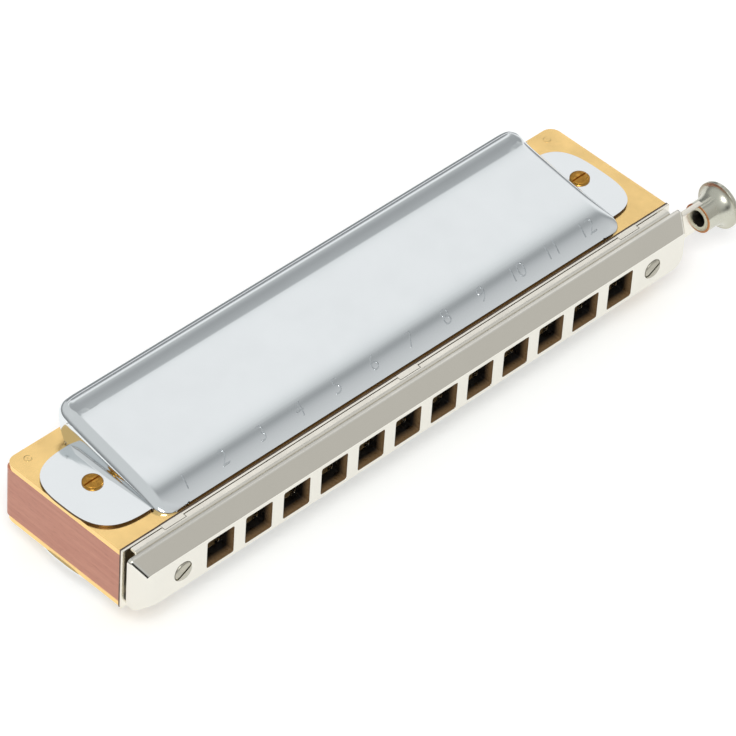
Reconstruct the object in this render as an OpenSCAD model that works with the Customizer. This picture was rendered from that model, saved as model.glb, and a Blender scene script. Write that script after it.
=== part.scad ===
// Chromatic harmonica: wooden comb, two reed plates with blow and draw reeds,
// two stamped covers, and a sprung slide with a button behind the mouthpiece.
// X runs along the instrument towards the button, Y from the lips to the back,
// Z up. The origin is the centre of the mouthpiece's front face.

/* [Holes] */
// Number of mouth holes
hole_count = 12; // [10:1:14]
// Distance from one mouth hole to the next
hole_pitch = 9.3; // [9.1:0.1:10]
// Width of a mouth hole
hole_w = 6.5; // [5.5:0.1:6.8]
// Height of a mouth hole
hole_h = 6.3; // [5.4:0.1:6.8]
// Corner radius of a mouth hole
hole_r = 0.4; // [0.2:0.1:0.8]

/* [Mouthpiece] */
// Depth of the mouthpiece from front to back
mouth_depth = 3.6; // [3.4:0.1:4.4]
// Height of the mouthpiece's front face
mouth_face_h = 8; // [7.8:0.1:9]
// Height of the mouthpiece at its back
mouth_h = 13.8; // [13:0.1:14.6]
// Depth of the sloped lip along the top and bottom
mouth_slope_depth = 2.75; // [2.4:0.05:3.1]
// How far the mouthpiece passes the comb at each end
mouth_over = 0.75; // [0.2:0.05:1.5]
// Width of the bevel at each end, along the length
mouth_bevel_w = 1.7; // [1:0.1:2.4]
// Depth of the bevel at each end, front to back
mouth_bevel_depth = 2.7; // [2:0.1:3.1]
// Radius of the mouthpiece's softened edges
mouth_edge_r = 0.5; // [0.2:0.1:0.7]
// Radius of the mouthpiece's two lower corners, seen from the front
mouth_low_r = 4; // [1:0.5:5]

/* [Mouthpiece screws] */
// Distance of each mouthpiece screw from its end hole's centre
mouth_screw_out = 8.95; // [8.6:0.05:9.5]
// Radius of the screw's shank
mouth_screw_r = 1.1; // [0.9:0.05:1.2]
// Radius of the countersunk head
mouth_screw_head_r = 2.1; // [1.9:0.1:2.5]
// Depth of the countersink
mouth_screw_sink = 1.3; // [1:0.1:1.8]
// Height of the head's dome above the face
mouth_screw_dome = 0.35; // [0.2:0.05:0.5]
// Length of the shank in the comb
mouth_screw_grip = 10; // [7:0.5:14]

/* [Slide] */
// Travel of the slide when the button is pressed
slide_travel = 4.65; // [4.3:0.05:4.8]
// Thickness of the slide
slide_t = 1.2; // [1:0.05:1.4]
// Height of the slide
slide_h = 12.8; // [12:0.1:13]
// Width of an air opening in the slide and in the plate behind it
port_w = 4.2; // [3.6:0.1:4.2]
// Height of an air opening
port_h = 2.9; // [2.4:0.1:3.2]
// Solid strip between the upper and lower air openings
port_web = 1.4; // [1.2:0.1:1.8]
// Running gap on each face of the slide
slide_gap = 0.065; // [0.05:0.005:0.1]
// Gap between the slide's long edges and the channel
slide_edge_gap = 0.1; // [0.08:0.01:0.2]
// Thickness of the channel's sheet
channel_t = 0.5; // [0.4:0.05:0.6]
// Inner radius of the channel's two bends
channel_bend_r = 0.15; // [0.1:0.01:0.2]
// Distance of the channel's ends from the comb's ends
channel_short = 1.65; // [1:0.05:2.4]
// Thickness of the plate behind the slide
back_sheet_t = 0.8; // [0.5:0.05:1]
// Gap between the channel's flange and the plate behind it
flange_gap = 0.23; // [0.15:0.01:0.3]
// Width of each of the three locking tabs
lock_w = 5; // [4:0.1:6]
// Distance of the outer locking tabs from the end holes' centres
lock_out = 6.75; // [6:0.05:7.5]
// Length by which a locking tab reaches forward of its plate
lock_depth = 0.83; // [0.6:0.01:1]
// How far the pressed slide's left end passes the channel
slide_poke = 1.25; // [0.8:0.05:1.4]
// Distance of the slide's wide part from the channel's right end
slide_right_in = 1.5; // [1.2:0.1:2]
// Half-height of the tongue that carries the button
tongue_half_h = 3.1; // [2.6:0.1:3.3]
// Length of slide past the comb's end, up to the button's stem
tongue_out = 7.4; // [6.8:0.05:9]

/* [Button] */
// Outer radius of the stem
stem_r = 3.1; // [2.9:0.1:3.4]
// Radius of the stem's bore
stem_bore_r = 2.45; // [2.2:0.05:2.6]
// Depth of the stem's bore
stem_bore_depth = 4.6; // [4:0.1:5]
// Radius of the flared face
flare_r = 4.9; // [4.6:0.1:6]
// Thickness of the flared rim
rim_t = 0.9; // [0.7:0.1:1.2]
// Length of the button from stem end to rim
button_l = 6.5; // [6:0.1:7.5]
// Height of the face's dome
button_dome = 0.5; // [0.3:0.1:0.8]
// Distance of the stem's axis in front of the slide's middle
stem_forward = 0.56; // [0.3:0.02:1]
// Depth of the notches in the stem's wall that hold the tongue's shoulders
tongue_seat = 1.2; // [0.8:0.1:2]

/* [Return spring] */
// Radius of the spring wire
wire_r = 0.35; // [0.3:0.05:0.4]
// Length of the spring's straight legs behind the comb's front face
spring_leg = 7.8; // [6:0.1:9]
// Distance between the spring's legs at rest
spring_span = 5.2; // [5.1:0.05:5.6]
// Distance of the moving leg from the comb's right end
spring_in = 2.05; // [1.8:0.05:2.2]
// Length of the hook that anchors the fixed leg
spring_hook = 2.4; // [2:0.1:4]
// Distance of the hook from the comb's front
spring_hook_in = 1.6; // [1.2:0.1:3]
// Space left round the spring in its pocket
spring_room = 0.3; // [0.2:0.05:0.4]

/* [Comb] */
// Thickness of the wooden comb
comb_h = 11.3; // [10.8:0.1:12]
// Depth of the comb from front to back
comb_depth = 30; // [28:0.5:33]
// Wood past the end hole's centre
comb_end = 18.5; // [18:0.1:20]
// Width of an air chamber
chamber_w = 6.4; // [6.2:0.1:6.8]
// Wood between the upper and lower chambers
chamber_web = 1.5; // [1.2:0.1:2]
// Radius of the comb's back corners
comb_corner_r = 1.4; // [0.5:0.1:2.5]

/* [Reed plates] */
// Thickness of a reed plate
plate_t = 1.05; // [0.9:0.05:1.2]
// Radius of a reed plate's back corners
plate_corner_r = 2.2; // [1:0.1:3]
// Length of the longest reed slot
slot_long = 17; // [15:0.5:17.5]
// Length of the shortest reed slot
slot_short = 10.5; // [8:0.5:12]
// Width of a reed slot
slot_w = 2.3; // [2:0.05:2.4]
// Distance of a slot's middle from the chamber's middle
slot_off = 1.5; // [1.4:0.05:1.6]
// Gap between a reed and the sides of its slot
reed_gap = 0.1; // [0.05:0.01:0.15]
// Thickness of a reed
reed_t = 0.25; // [0.2:0.01:0.35]
// Length of a reed's riveted pad
pad_l = 3; // [2.6:0.1:3.4]
// Radius of a reed rivet
rivet_r = 0.55; // [0.4:0.05:0.6]
// Radius of a reed rivet's head
rivet_head_r = 0.85; // [0.7:0.05:0.9]
// Height of a reed rivet's head
rivet_head_h = 0.3; // [0.2:0.05:0.4]
// Distance of the outer reeds' pads from the comb's front
outer_pad_in = 3.8; // [3.6:0.1:4.5]
// Wood left behind the pads of the inner reeds, inside the chamber
inner_pad_room = 0.35; // [0.2:0.05:0.6]
// Width of a valve strip
valve_w = 2.6; // [2.4:0.05:2.7]
// Thickness of a valve strip
valve_t = 0.15; // [0.1:0.01:0.2]

/* [Plate nails] */
// Radius of a nail
nail_r = 0.45; // [0.35:0.05:0.55]
// Radius of a nail's head
nail_head_r = 0.8; // [0.7:0.05:1]
// Height of a nail's head
nail_head_h = 0.15; // [0.1:0.05:0.25]
// Length of a nail in the wood
nail_grip = 3.5; // [2.5:0.5:4]
// Distance of the back row of nails from the comb's back
nail_back_in = 2.3; // [2:0.1:2.6]
// Distance of the front row of nails from the comb's front
nail_front_in = 3.4; // [3.2:0.1:4]
// Distance of the end nails from the comb's ends
nail_end_in = 3.55; // [3:0.05:4]

/* [Covers] */
// Thickness of the cover sheet
cover_t = 0.5; // [0.4:0.05:0.6]
// Distance from the comb's end to the cover's end wall
cover_in = 10.95; // [10:0.05:11.5]
// Distance from the comb's front to the cover's front edge
cover_front_in = 0.55; // [0.4:0.05:0.8]
// How far the cover's back ridge passes the comb's back
cover_back_over = 0.2; // [0:0.05:0.6]
// Height of the crease above the reed plate
crease_h = 1.9; // [1.6:0.1:2.4]
// Depth of the front slope, from front edge to crease
crease_in = 3.6; // [3:0.1:4.2]
// Height of the back ridge above the reed plate
cover_h = 6.7; // [6:0.1:8]
// Outer radius of the back ridge
ridge_r = 2.1; // [1.6:0.1:2.4]
// Angle through which the sheet turns down from the top of the ridge
ridge_wrap = 90; // [80:1:105]
// Radius of the crease between the front slope and the flat
crease_r = 3.2; // [2:0.1:4]
// Radius of the rolled edges between the flat and the end walls
cover_edge_r = 1.5; // [1:0.1:3.4]
// Angle at which the end walls lean inwards
cover_lean = 6; // [4:1:20]
// Distance from an end wall's foot to the line where its plane meets the flat's
cover_top_in = 0.7; // [0.5:0.1:2.4]
// Radius of the cover's back corners, seen from above
cover_corner_r = 5; // [2:0.1:6]
// Radius of the cover's front corners, seen from above
cover_front_r = 2.4; // [0.8:0.1:3]
// Distance of an end wall's back edge from the cover's back, at its foot
wall_back_in = 4; // [3:0.1:4.3]
// Distance of an end wall's back edge from the cover's back, at its top
wall_top_in = 1.3; // [1.1:0.1:2]
// Distance that the low end's tab reaches out from its wall
tab_out_low = 11.2; // [10:0.1:11.5]
// Distance that the button end's tab reaches out from its wall
tab_out_high = 8; // [7:0.1:11.5]
// Distance of the tab's front edge from the comb's front
tab_front_in = 4; // [3.6:0.1:5]
// Distance of the tab's back edge from the comb's back, at its root
tab_back_in = 4.6; // [4:0.1:6]
// How much the tab narrows towards its back outer corner
tab_taper = 1.6; // [0:0.1:3]
// Radius of the tab's front outer corner
tab_front_r = 6; // [3:0.1:6.5]
// Radius of the tab's back outer corner
tab_back_r = 5.5; // [3:0.1:6]

/* [Cover screws] */
// Distance of a cover screw from the cover's end wall
cover_screw_out = 3.33; // [3.1:0.01:4]
// Distance of the cover screws from the comb's front
cover_screw_in = 15.3; // [14:0.05:17]
// Radius of the screw's shank
cover_screw_r = 1.05; // [0.9:0.05:1.2]
// Radius of the screw's head
cover_screw_head_r = 1.95; // [1.7:0.05:2.2]
// Height of the screw's head
cover_screw_head_h = 0.6; // [0.55:0.05:1.2]
// Radius of the nut below
cover_nut_r = 2.1; // [1.8:0.05:2.4]
// Height of the nut
cover_nut_h = 1.2; // [1:0.05:1.5]
// Width of the drivers' slots in all the screws
driver_w = 0.5; // [0.4:0.05:0.6]
// Depth of the drivers' slots
driver_depth = 0.4; // [0.3:0.05:0.5]

/* [Hidden] */
$fn = 48;
// Clearance of a fixed shank or pin in its hole
fit_gap = 0.03;
// Clearance of a loose part in its notch
notch_gap = 0.1;
// Length by which a cutting shape passes the face that it cuts
cut = 1;
// Points on a rounded corner of an outline
corner_steps = 6;

row_half = (hole_count - 1) / 2 * hole_pitch;
comb_half = row_half + comb_end;
mouth_half = comb_half + mouth_over;
channel_y = mouth_depth;
slide_y = channel_y + channel_t + slide_gap;
back_sheet_y = slide_y + slide_t + slide_gap;
comb_y = back_sheet_y + back_sheet_t;
comb_back_y = comb_y + comb_depth;
plate_z = comb_h / 2;
plate_top = plate_z + plate_t;
channel_h = slide_h + 2 * slide_edge_gap + 2 * channel_t;
channel_half = comb_half - channel_short;
flange_y = back_sheet_y - flange_gap;
mouth_screw_x = row_half + mouth_screw_out;
lock_x = row_half + lock_out;
stem_y = slide_y + slide_t / 2 - stem_forward;
stem_x = comb_half + tongue_out;
tongue_tip_half_h = sqrt((stem_bore_r - notch_gap) ^ 2 - (stem_forward + slide_t / 2) ^ 2);
spring_x = comb_half - spring_in;
spring_fixed_x = spring_x - spring_span;
spring_bend_y = comb_y + spring_leg;
hook_y = comb_y + spring_hook_in;
cover_half = comb_half - cover_in;
cover_y = comb_y + cover_front_in;
crease_y = cover_y + crease_in;
cover_back_y = comb_back_y + cover_back_over;
ridge_y = cover_back_y - ridge_r;
ridge_z = cover_h - ridge_r;
vent_z = plate_top + ridge_z + ridge_r * cos(ridge_wrap);
cover_screw_x = cover_half + cover_screw_out;
cover_screw_y = comb_y + cover_screw_in;
tab_y0 = comb_y + tab_front_in;
tab_y1 = comb_back_y - tab_back_in;

// Angle of the cover's flat: the tangent from the crease to the ridge
crease_reach = norm([ridge_y - crease_y, ridge_z - crease_h]);
flat_slope = atan2(ridge_z - crease_h, ridge_y - crease_y) + asin(ridge_r / crease_reach);

// X of hole i, counted from 0 at the low end
function hole_x(i) = (i - (hole_count - 1) / 2) * hole_pitch;
// Length of the reed slots at hole i
function slot_l(i) = slot_long + (slot_short - slot_long) * i / (hole_count - 1);
// Y where the outer and inner reeds' slots start and the chamber ends
function outer_slot_y() = comb_y + outer_pad_in + pad_l;
function inner_slot_y() = comb_y + outer_pad_in + pad_l / 2;
function chamber_end_y(i) = inner_slot_y() + slot_l(i) + pad_l + inner_pad_room;
// Points of an outline with corner i rounded to radius corners[i][2], going anticlockwise
function unit(v) = v / norm(v);
function corner_arc(a, b, c, r) =
    let (u = unit(a - b), v = unit(c - b), half = acos(u * v) / 2, mid = b + unit(u + v) * r / sin(half),
         p = b + u * r / tan(half) - mid, q = b + v * r / tan(half) - mid,
         a0 = atan2(p[1], p[0]), turn = atan2(p[0] * q[1] - p[1] * q[0], p * q))
    [for (k = [0:corner_steps], a = [a0 + turn * k / corner_steps]) mid + r * [cos(a), sin(a)]];
function flat_point(p) = [p[0], p[1]];
function rounded(pts) =
    [for (i = [0:len(pts) - 1])
        let (n = len(pts), a = flat_point(pts[(i + n - 1) % n]), b = flat_point(pts[i]),
             c = flat_point(pts[(i + 1) % n]), r = pts[i][2])
        for (q = r > 0 ? corner_arc(a, b, c, r) : [b]) q];

// Lays a drawing of (x, y) = (Y, Z) along X, from -half to half
module along_x(half) rotate([90, 0, 90]) translate([0, 0, -half]) linear_extrude(2 * half) children();
// Lays a drawing of (x, y) = (X, Z) along Y, from y0 to y1
module along_y(y0, y1) translate([0, y1, 0]) rotate([90, 0, 0]) linear_extrude(y1 - y0) children();
// A block with its middle at x and z, from y0 to y1
module block(x, z, w, h, y0, y1) translate([x - w / 2, y0, z - h / 2]) cube([w, y1 - y0, h]);
// A round pin along Y
module pin_y(x, y0, y1, z, r) translate([x, y0, z]) rotate([-90, 0, 0]) cylinder(h = y1 - y0, r = r);
// Copies the children to both ends
module both_ends() {
    children();
    mirror([1, 0, 0]) children();
}
// Turns an upper piece into a lower one
module below() mirror([0, 0, 1]) children();

// Mouth hole through the mouthpiece and the channel
module mouth_hole(y0, y1) {
    w = hole_w / 2;
    h = hole_h / 2;
    along_y(y0, y1) polygon(rounded([[-w, -h, hole_r], [w, -h, hole_r], [w, h, hole_r], [-w, h, hole_r]]));
}

// Air opening in the slide or the plate behind it: side is 1 above and -1 below
module port(x, side, y0, y1) block(x, side * (port_web + port_h) / 2, port_w, port_h, y0, y1);

module mouthpiece() color([0.93, 0.93, 0.9]) {
    f = mouth_face_h / 2;
    h = mouth_h / 2;
    front_half = mouth_half - mouth_bevel_w;
    difference() {
        intersection() {
            along_x(mouth_half) polygon(rounded([[0, -f, mouth_edge_r], [mouth_slope_depth, -h, 0],
                [mouth_depth, -h, 0], [mouth_depth, h, 0], [mouth_slope_depth, h, 0], [0, f, mouth_edge_r]]));
            translate([0, 0, -h]) linear_extrude(2 * h) polygon(rounded([[-front_half, 0, mouth_edge_r],
                [front_half, 0, mouth_edge_r], [mouth_half, mouth_bevel_depth, mouth_edge_r],
                [mouth_half, mouth_depth, 0], [-mouth_half, mouth_depth, 0],
                [-mouth_half, mouth_bevel_depth, mouth_edge_r]]));
            along_y(-cut, mouth_depth + cut) polygon(rounded([[-mouth_half, -h, mouth_low_r],
                [mouth_half, -h, mouth_low_r], [mouth_half, h, 0], [-mouth_half, h, 0]]));
        }
        for (i = [0:hole_count - 1]) translate([hole_x(i), 0, 0]) mouth_hole(-cut, mouth_depth + cut);
        both_ends() screw_hole();
    }
}

// Countersunk hole for a mouthpiece screw
module screw_hole() translate([mouth_screw_x, 0, 0]) {
    pin_y(0, -cut, mouth_depth + cut, 0, mouth_screw_r + fit_gap);
    rotate([-90, 0, 0]) cylinder(h = mouth_screw_sink, r1 = mouth_screw_head_r, r2 = mouth_screw_r + fit_gap);
    pin_y(0, -cut, 0, 0, mouth_screw_head_r);
}

module mouthpiece_screws() color([0.9, 0.88, 0.8]) {
    both_ends() translate([mouth_screw_x, 0, 0]) rotate([-90, 0, 0]) difference() {
        rotate_extrude() polygon([[0, -mouth_screw_dome], [mouth_screw_head_r * 0.55, -mouth_screw_dome * 0.8],
            [mouth_screw_head_r * 0.85, -mouth_screw_dome * 0.35], [mouth_screw_head_r - fit_gap, 0],
            [mouth_screw_r, mouth_screw_sink - fit_gap],
            [mouth_screw_r, comb_y + mouth_screw_grip - mouth_screw_r], [0, comb_y + mouth_screw_grip]]);
        translate([-mouth_screw_head_r, -driver_w / 2, -mouth_screw_dome - cut])
            cube([2 * mouth_screw_head_r, driver_w, cut + driver_depth]);
    }
}

module slide_channel() color([0.86, 0.85, 0.8]) {
    h = channel_h / 2;
    bend = channel_bend_r + channel_t;
    inner_y = channel_y + channel_t;
    difference() {
        along_x(channel_half) polygon(rounded([[channel_y, -h, bend], [flange_y, -h, 0],
            [flange_y, -h + channel_t, 0], [inner_y, -h + channel_t, channel_bend_r],
            [inner_y, h - channel_t, channel_bend_r], [flange_y, h - channel_t, 0], [flange_y, h, 0],
            [channel_y, h, bend]]));
        for (i = [0:hole_count - 1]) translate([hole_x(i), 0, 0]) mouth_hole(channel_y - cut, inner_y + cut);
        both_ends() pin_y(mouth_screw_x, channel_y - cut, inner_y + cut, 0, mouth_screw_r + fit_gap);
        for (x = [-lock_x, 0, lock_x]) block(x, 0, lock_w + 2 * notch_gap, channel_h + cut,
            back_sheet_y - lock_depth - notch_gap, flange_y + cut);
    }
}

module slide_back_plate() color([0.9, 0.89, 0.84]) {
    h = channel_h / 2 - 0.05;
    difference() {
        union() {
            block(0, 0, 2 * comb_half, 2 * h, back_sheet_y, comb_y);
            for (x = [-lock_x, 0, lock_x], side = [-1, 1])
                block(x, side * (channel_h - channel_t) / 2, lock_w, channel_t,
                    back_sheet_y - lock_depth, comb_y);
        }
        for (i = [0:hole_count - 1], side = [-1, 1]) port(hole_x(i), side, back_sheet_y - cut, comb_y + cut);
        both_ends() pin_y(mouth_screw_x, back_sheet_y - cut, comb_y + cut, 0, mouth_screw_r + fit_gap);
        spring_window(back_sheet_y - cut, comb_y + cut);
    }
}

// Slot that the spring's moving leg travels along
module spring_window(y0, y1) {
    room = wire_r + spring_room;
    block(spring_x - slide_travel / 2, 0, slide_travel + 2 * room, 2 * room, y0, y1);
}

module slide() color([0.8, 0.76, 0.64]) {
    y1 = slide_y + slide_t;
    x0 = slide_travel - slide_poke - channel_half;
    hole_play = mouth_screw_r + notch_gap;
    difference() {
        union() {
            translate([x0, slide_y, -slide_h / 2]) cube([channel_half - slide_right_in - x0, slide_t, slide_h]);
            translate([0, slide_y, -tongue_half_h]) cube([stem_x + tongue_seat, slide_t, 2 * tongue_half_h]);
            translate([0, slide_y, -tongue_tip_half_h])
                cube([stem_x + stem_bore_depth - notch_gap, slide_t, 2 * tongue_tip_half_h]);
        }
        for (i = [0:hole_count - 1]) {
            port(hole_x(i), 1, slide_y - cut, y1 + cut);
            port(hole_x(i) + slide_travel, -1, slide_y - cut, y1 + cut);
        }
        for (x = [-mouth_screw_x, mouth_screw_x]) {
            pin_y(x, slide_y - cut, y1 + cut, 0, hole_play);
            pin_y(x + slide_travel, slide_y - cut, y1 + cut, 0, hole_play);
            block(x + slide_travel / 2, 0, slide_travel, 2 * hole_play, slide_y - cut, y1 + cut);
        }
        pin_y(spring_x, slide_y - cut, y1 + cut, 0, wire_r + notch_gap);
    }
}

// Concave flank of the button: points from the stem to the rim, as (radius, x)
function flank() =
    let (w = flare_r - stem_r, x0 = stem_bore_depth / 2, l = button_l - rim_t - x0)
    [for (a = [0:9:90]) [stem_r + w * (1 - cos(a)), x0 + l * sin(a)]];

module button() color([0.72, 0.71, 0.66]) translate([stem_x, stem_y, 0]) difference() {
    rotate([0, 90, 0]) rotate_extrude() polygon(concat([[0, 0], [stem_r, 0]], flank(),
        [[flare_r, button_l - 0.2], [flare_r - 0.2, button_l], [flare_r * 0.6, button_l + button_dome * 0.7],
         [0, button_l + button_dome]]));
    translate([-cut, 0, 0]) rotate([0, 90, 0]) cylinder(h = stem_bore_depth + cut, r = stem_bore_r);
    block((tongue_seat - cut) / 2, 0, tongue_seat + cut, 2 * tongue_half_h + 2 * notch_gap,
        stem_forward - slide_t / 2 - fit_gap, stem_forward + slide_t / 2 + fit_gap);
}

// Hairpin of wire: its fixed leg hooks down into the comb, its moving leg ends in the slide
module return_spring() color([0.6, 0.6, 0.62]) {
    pin_y(spring_x, slide_y + 0.2, spring_bend_y, 0, wire_r);
    pin_y(spring_fixed_x, hook_y, spring_bend_y, 0, wire_r);
    translate([(spring_x + spring_fixed_x) / 2, spring_bend_y, 0]) rotate_extrude(angle = 180)
        translate([spring_span / 2, 0]) circle(r = wire_r, $fn = 24);
    translate([spring_fixed_x, hook_y, 0]) sphere(r = wire_r);
    translate([spring_fixed_x, hook_y, -spring_hook]) cylinder(h = spring_hook, r = wire_r);
}

// Outline of the comb and the reed plates from above, with the back corners rounded
function plan(r) = rounded([[-comb_half, comb_y, 0], [comb_half, comb_y, 0], [comb_half, comb_back_y, r],
    [-comb_half, comb_back_y, r]]);

module comb() color([0.78, 0.52, 0.42]) difference() {
    translate([0, 0, -comb_h / 2]) linear_extrude(comb_h) polygon(plan(comb_corner_r));
    for (i = [0:hole_count - 1]) {
        l = chamber_end_y(i) + cut - comb_y;
        for (side = [0, 1]) mirror([0, 0, side])
            translate([hole_x(i) - chamber_w / 2, comb_y - cut, chamber_web / 2]) cube([chamber_w, l, comb_h]);
    }
    both_ends() {
        pin_y(mouth_screw_x, comb_y - cut, comb_y + mouth_screw_grip + fit_gap, 0, mouth_screw_r + fit_gap);
        translate([cover_screw_x, cover_screw_y, -comb_h])
            cylinder(h = 2 * comb_h, r = cover_screw_r + fit_gap);
    }
    spring_pocket();
    for (side = [0, 1]) mirror([0, 0, side]) at_nails() translate([0, 0, plate_z - nail_grip - fit_gap])
        cylinder(h = nail_grip + cut, r = nail_r + fit_gap);
}

module spring_pocket() {
    room = wire_r + spring_room;
    mid = (spring_x + spring_fixed_x) / 2;
    block(mid, 0, spring_span + 2 * room, 2 * room, comb_y - cut, spring_bend_y);
    translate([mid, spring_bend_y, -room]) cylinder(h = 2 * room, r = spring_span / 2 + room);
    translate([spring_fixed_x, hook_y, -spring_hook - fit_gap]) cylinder(h = spring_hook, r = wire_r + fit_gap);
}

// Places of the nails that hold a reed plate
module at_nails() {
    back = comb_back_y - nail_back_in;
    front = comb_y + nail_front_in;
    third = floor(hole_count / 4) * hole_pitch;
    shift = hole_count % 2 == 0 ? 0 : hole_pitch / 2;
    end = comb_half - nail_end_in;
    for (x = [-end, -third, 0, third, end]) translate([x, back, 0]) children();
    for (x = [-third + shift, shift, third + shift]) translate([x, front, 0]) children();
}

module upper_reed_plate() color([0.93, 0.76, 0.42]) difference() {
    translate([0, 0, plate_z]) linear_extrude(plate_t) polygon(plan(plate_corner_r));
    for (i = [0:hole_count - 1]) {
        for (s = [[-slot_off, outer_slot_y()], [slot_off, inner_slot_y()]])
            block(hole_x(i) + s[0], plate_z, slot_w, 4 * plate_t, s[1], s[1] + slot_l(i));
        at_rivets(i) translate([0, 0, -cut]) cylinder(h = plate_t + 2 * cut, r = rivet_r + fit_gap, $fn = 24);
    }
    both_ends() translate([cover_screw_x, cover_screw_y, plate_z - cut])
        cylinder(h = plate_t + 2 * cut, r = cover_screw_r + fit_gap);
    at_nails() translate([0, 0, plate_z - cut]) cylinder(h = plate_t + 2 * cut, r = nail_r + fit_gap, $fn = 24);
}
module lower_reed_plate() color([0.93, 0.76, 0.42]) below() upper_reed_plate();

// Places of the outer and inner reed's rivets at hole i, on the plate's inner face
module at_rivets(i) {
    translate([hole_x(i) - slot_off, outer_slot_y() - pad_l / 2, plate_z]) children();
    translate([hole_x(i) + slot_off, inner_slot_y() + slot_l(i) + pad_l / 2, plate_z]) children();
}

// One reed, its tip at +Y: a riveted pad, then the free tongue over its slot
module reed(l) difference() {
    free_w = slot_w - 2 * reed_gap;
    union() {
        translate([-slot_w / 2, -pad_l, 0]) cube([slot_w, pad_l, reed_t]);
        translate([-free_w / 2, -cut / 2, 0]) cube([free_w, l - reed_gap + cut / 2, reed_t]);
    }
    translate([0, -pad_l / 2, -cut]) cylinder(h = reed_t + 2 * cut, r = rivet_r + fit_gap, $fn = 24);
}

module upper_draw_reeds() color([0.9, 0.74, 0.4]) for (i = [0:hole_count - 1])
    translate([hole_x(i) - slot_off, outer_slot_y(), plate_top]) reed(slot_l(i));
module upper_blow_reeds() color([0.9, 0.74, 0.4]) for (i = [0:hole_count - 1])
    translate([hole_x(i) + slot_off, inner_slot_y() + slot_l(i), plate_z]) rotate([180, 0, 0]) reed(slot_l(i));
module lower_draw_reeds() color([0.9, 0.74, 0.4]) below() upper_draw_reeds();
module lower_blow_reeds() color([0.9, 0.74, 0.4]) below() upper_blow_reeds();

// Rivets: outer reeds have the head above the plate, inner reeds below it
module upper_reed_rivets() color([0.95, 0.85, 0.6]) for (i = [0:hole_count - 1]) {
    translate([hole_x(i) - slot_off, outer_slot_y() - pad_l / 2, plate_z]) rivet();
    translate([hole_x(i) + slot_off, inner_slot_y() + slot_l(i) + pad_l / 2, plate_top])
        rotate([180, 0, 0]) rivet();
}
module lower_reed_rivets() color([0.95, 0.85, 0.6]) below() upper_reed_rivets();
module rivet() {
    cylinder(h = plate_t + reed_t, r = rivet_r, $fn = 24);
    translate([0, 0, plate_t + reed_t]) cylinder(h = rivet_head_h, r = rivet_head_r, $fn = 24);
}

// Valve strips: each covers the slot from the face that has no reed
module upper_outer_valves() color([0.95, 0.95, 0.9]) for (i = [0:hole_count - 1])
    translate([hole_x(i) + slot_off - valve_w / 2, inner_slot_y() - 0.6, plate_top])
        cube([valve_w, slot_l(i) + pad_l * 0.9, valve_t]);
module upper_inner_valves() color([0.95, 0.95, 0.9]) for (i = [0:hole_count - 1])
    translate([hole_x(i) - slot_off - valve_w / 2, outer_slot_y() - pad_l * 0.9 + 0.6, plate_z - valve_t])
        cube([valve_w, slot_l(i) + pad_l * 0.9 - 0.1, valve_t]);
module lower_outer_valves() color([0.95, 0.95, 0.9]) below() upper_outer_valves();
module lower_inner_valves() color([0.95, 0.95, 0.9]) below() upper_inner_valves();

module upper_plate_nails() color([0.85, 0.7, 0.45]) at_nails() {
    translate([0, 0, plate_z - nail_grip]) cylinder(h = nail_grip + plate_t, r = nail_r, $fn = 24);
    translate([0, 0, plate_top]) cylinder(h = nail_head_h, r = nail_head_r, $fn = 24);
}
module lower_plate_nails() color([0.85, 0.7, 0.45]) below() upper_plate_nails();

// Side outline of the cover's outer face sunk by d, as (Y, height over the reed plate)
function cover_side(d) =
    let (s = flat_slope, f = atan2(crease_h, crease_in), r = ridge_r - d,
         crease = [crease_y, crease_h] + d * [sin((s + f) / 2), -cos((s + f) / 2)] / cos((f - s) / 2),
         foot = crease - (crease[1] + cut) / sin(f) * [cos(f), sin(f)])
    rounded([[foot[0], foot[1], 0], [ridge_y, -cut, 0], [ridge_y - sin(s) * r, ridge_z + cos(s) * r, 0],
             [crease[0], crease[1], crease_r - d]]);

// Solid that the cover's outer face encloses, sunk by d
module cover_block(d) {
    w = cover_half - d;
    top = w - cover_top_in;
    r = cover_edge_r - d;
    lean = tan(cover_lean);
    y0 = cover_y + d / 2;
    y1 = cover_back_y - d;
    translate([0, 0, plate_top]) intersection() {
        along_x(cover_half + cut) union() {
            polygon(cover_side(d));
            translate([ridge_y, ridge_z]) circle(r = ridge_r - d);
            translate([ridge_y - cut, -cut]) square([ridge_r - d + cut, ridge_z + cut]);
        }
        translate([0, crease_y, crease_h]) rotate([flat_slope, 0, 0]) translate([0, 0, 0.01 - d])
            along_y(-comb_depth, 2 * comb_depth) polygon(rounded([[-top - comb_h * lean, -comb_h, 0],
                [top + comb_h * lean, -comb_h, 0], [top, 0, r], [-top, 0, r]]));
        along_y(-comb_depth, 2 * comb_depth) polygon([[-w - lean * cut, -cut], [w + lean * cut, -cut],
            [w - lean * 2 * cover_h, 2 * cover_h], [-w + lean * 2 * cover_h, 2 * cover_h]]);
        translate([0, 0, -2 * cut]) linear_extrude(cover_h + 4 * cut) polygon(rounded([[-w, y0, cover_front_r],
            [w, y0, cover_front_r], [w, y1, cover_corner_r - d], [-w, y1, cover_corner_r - d]]));
    }
}

// End tab that is screwed down on the reed plate
module cover_tab(reach) {
    x0 = cover_half - 2 * cover_t;
    x1 = cover_half + reach;
    translate([0, 0, plate_top]) linear_extrude(cover_t) polygon(rounded([[x0, tab_y0, 0],
        [x1, tab_y0, tab_front_r], [x1, tab_y1 - tab_taper, tab_back_r], [x0, tab_y1, 0]]));
}

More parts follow.
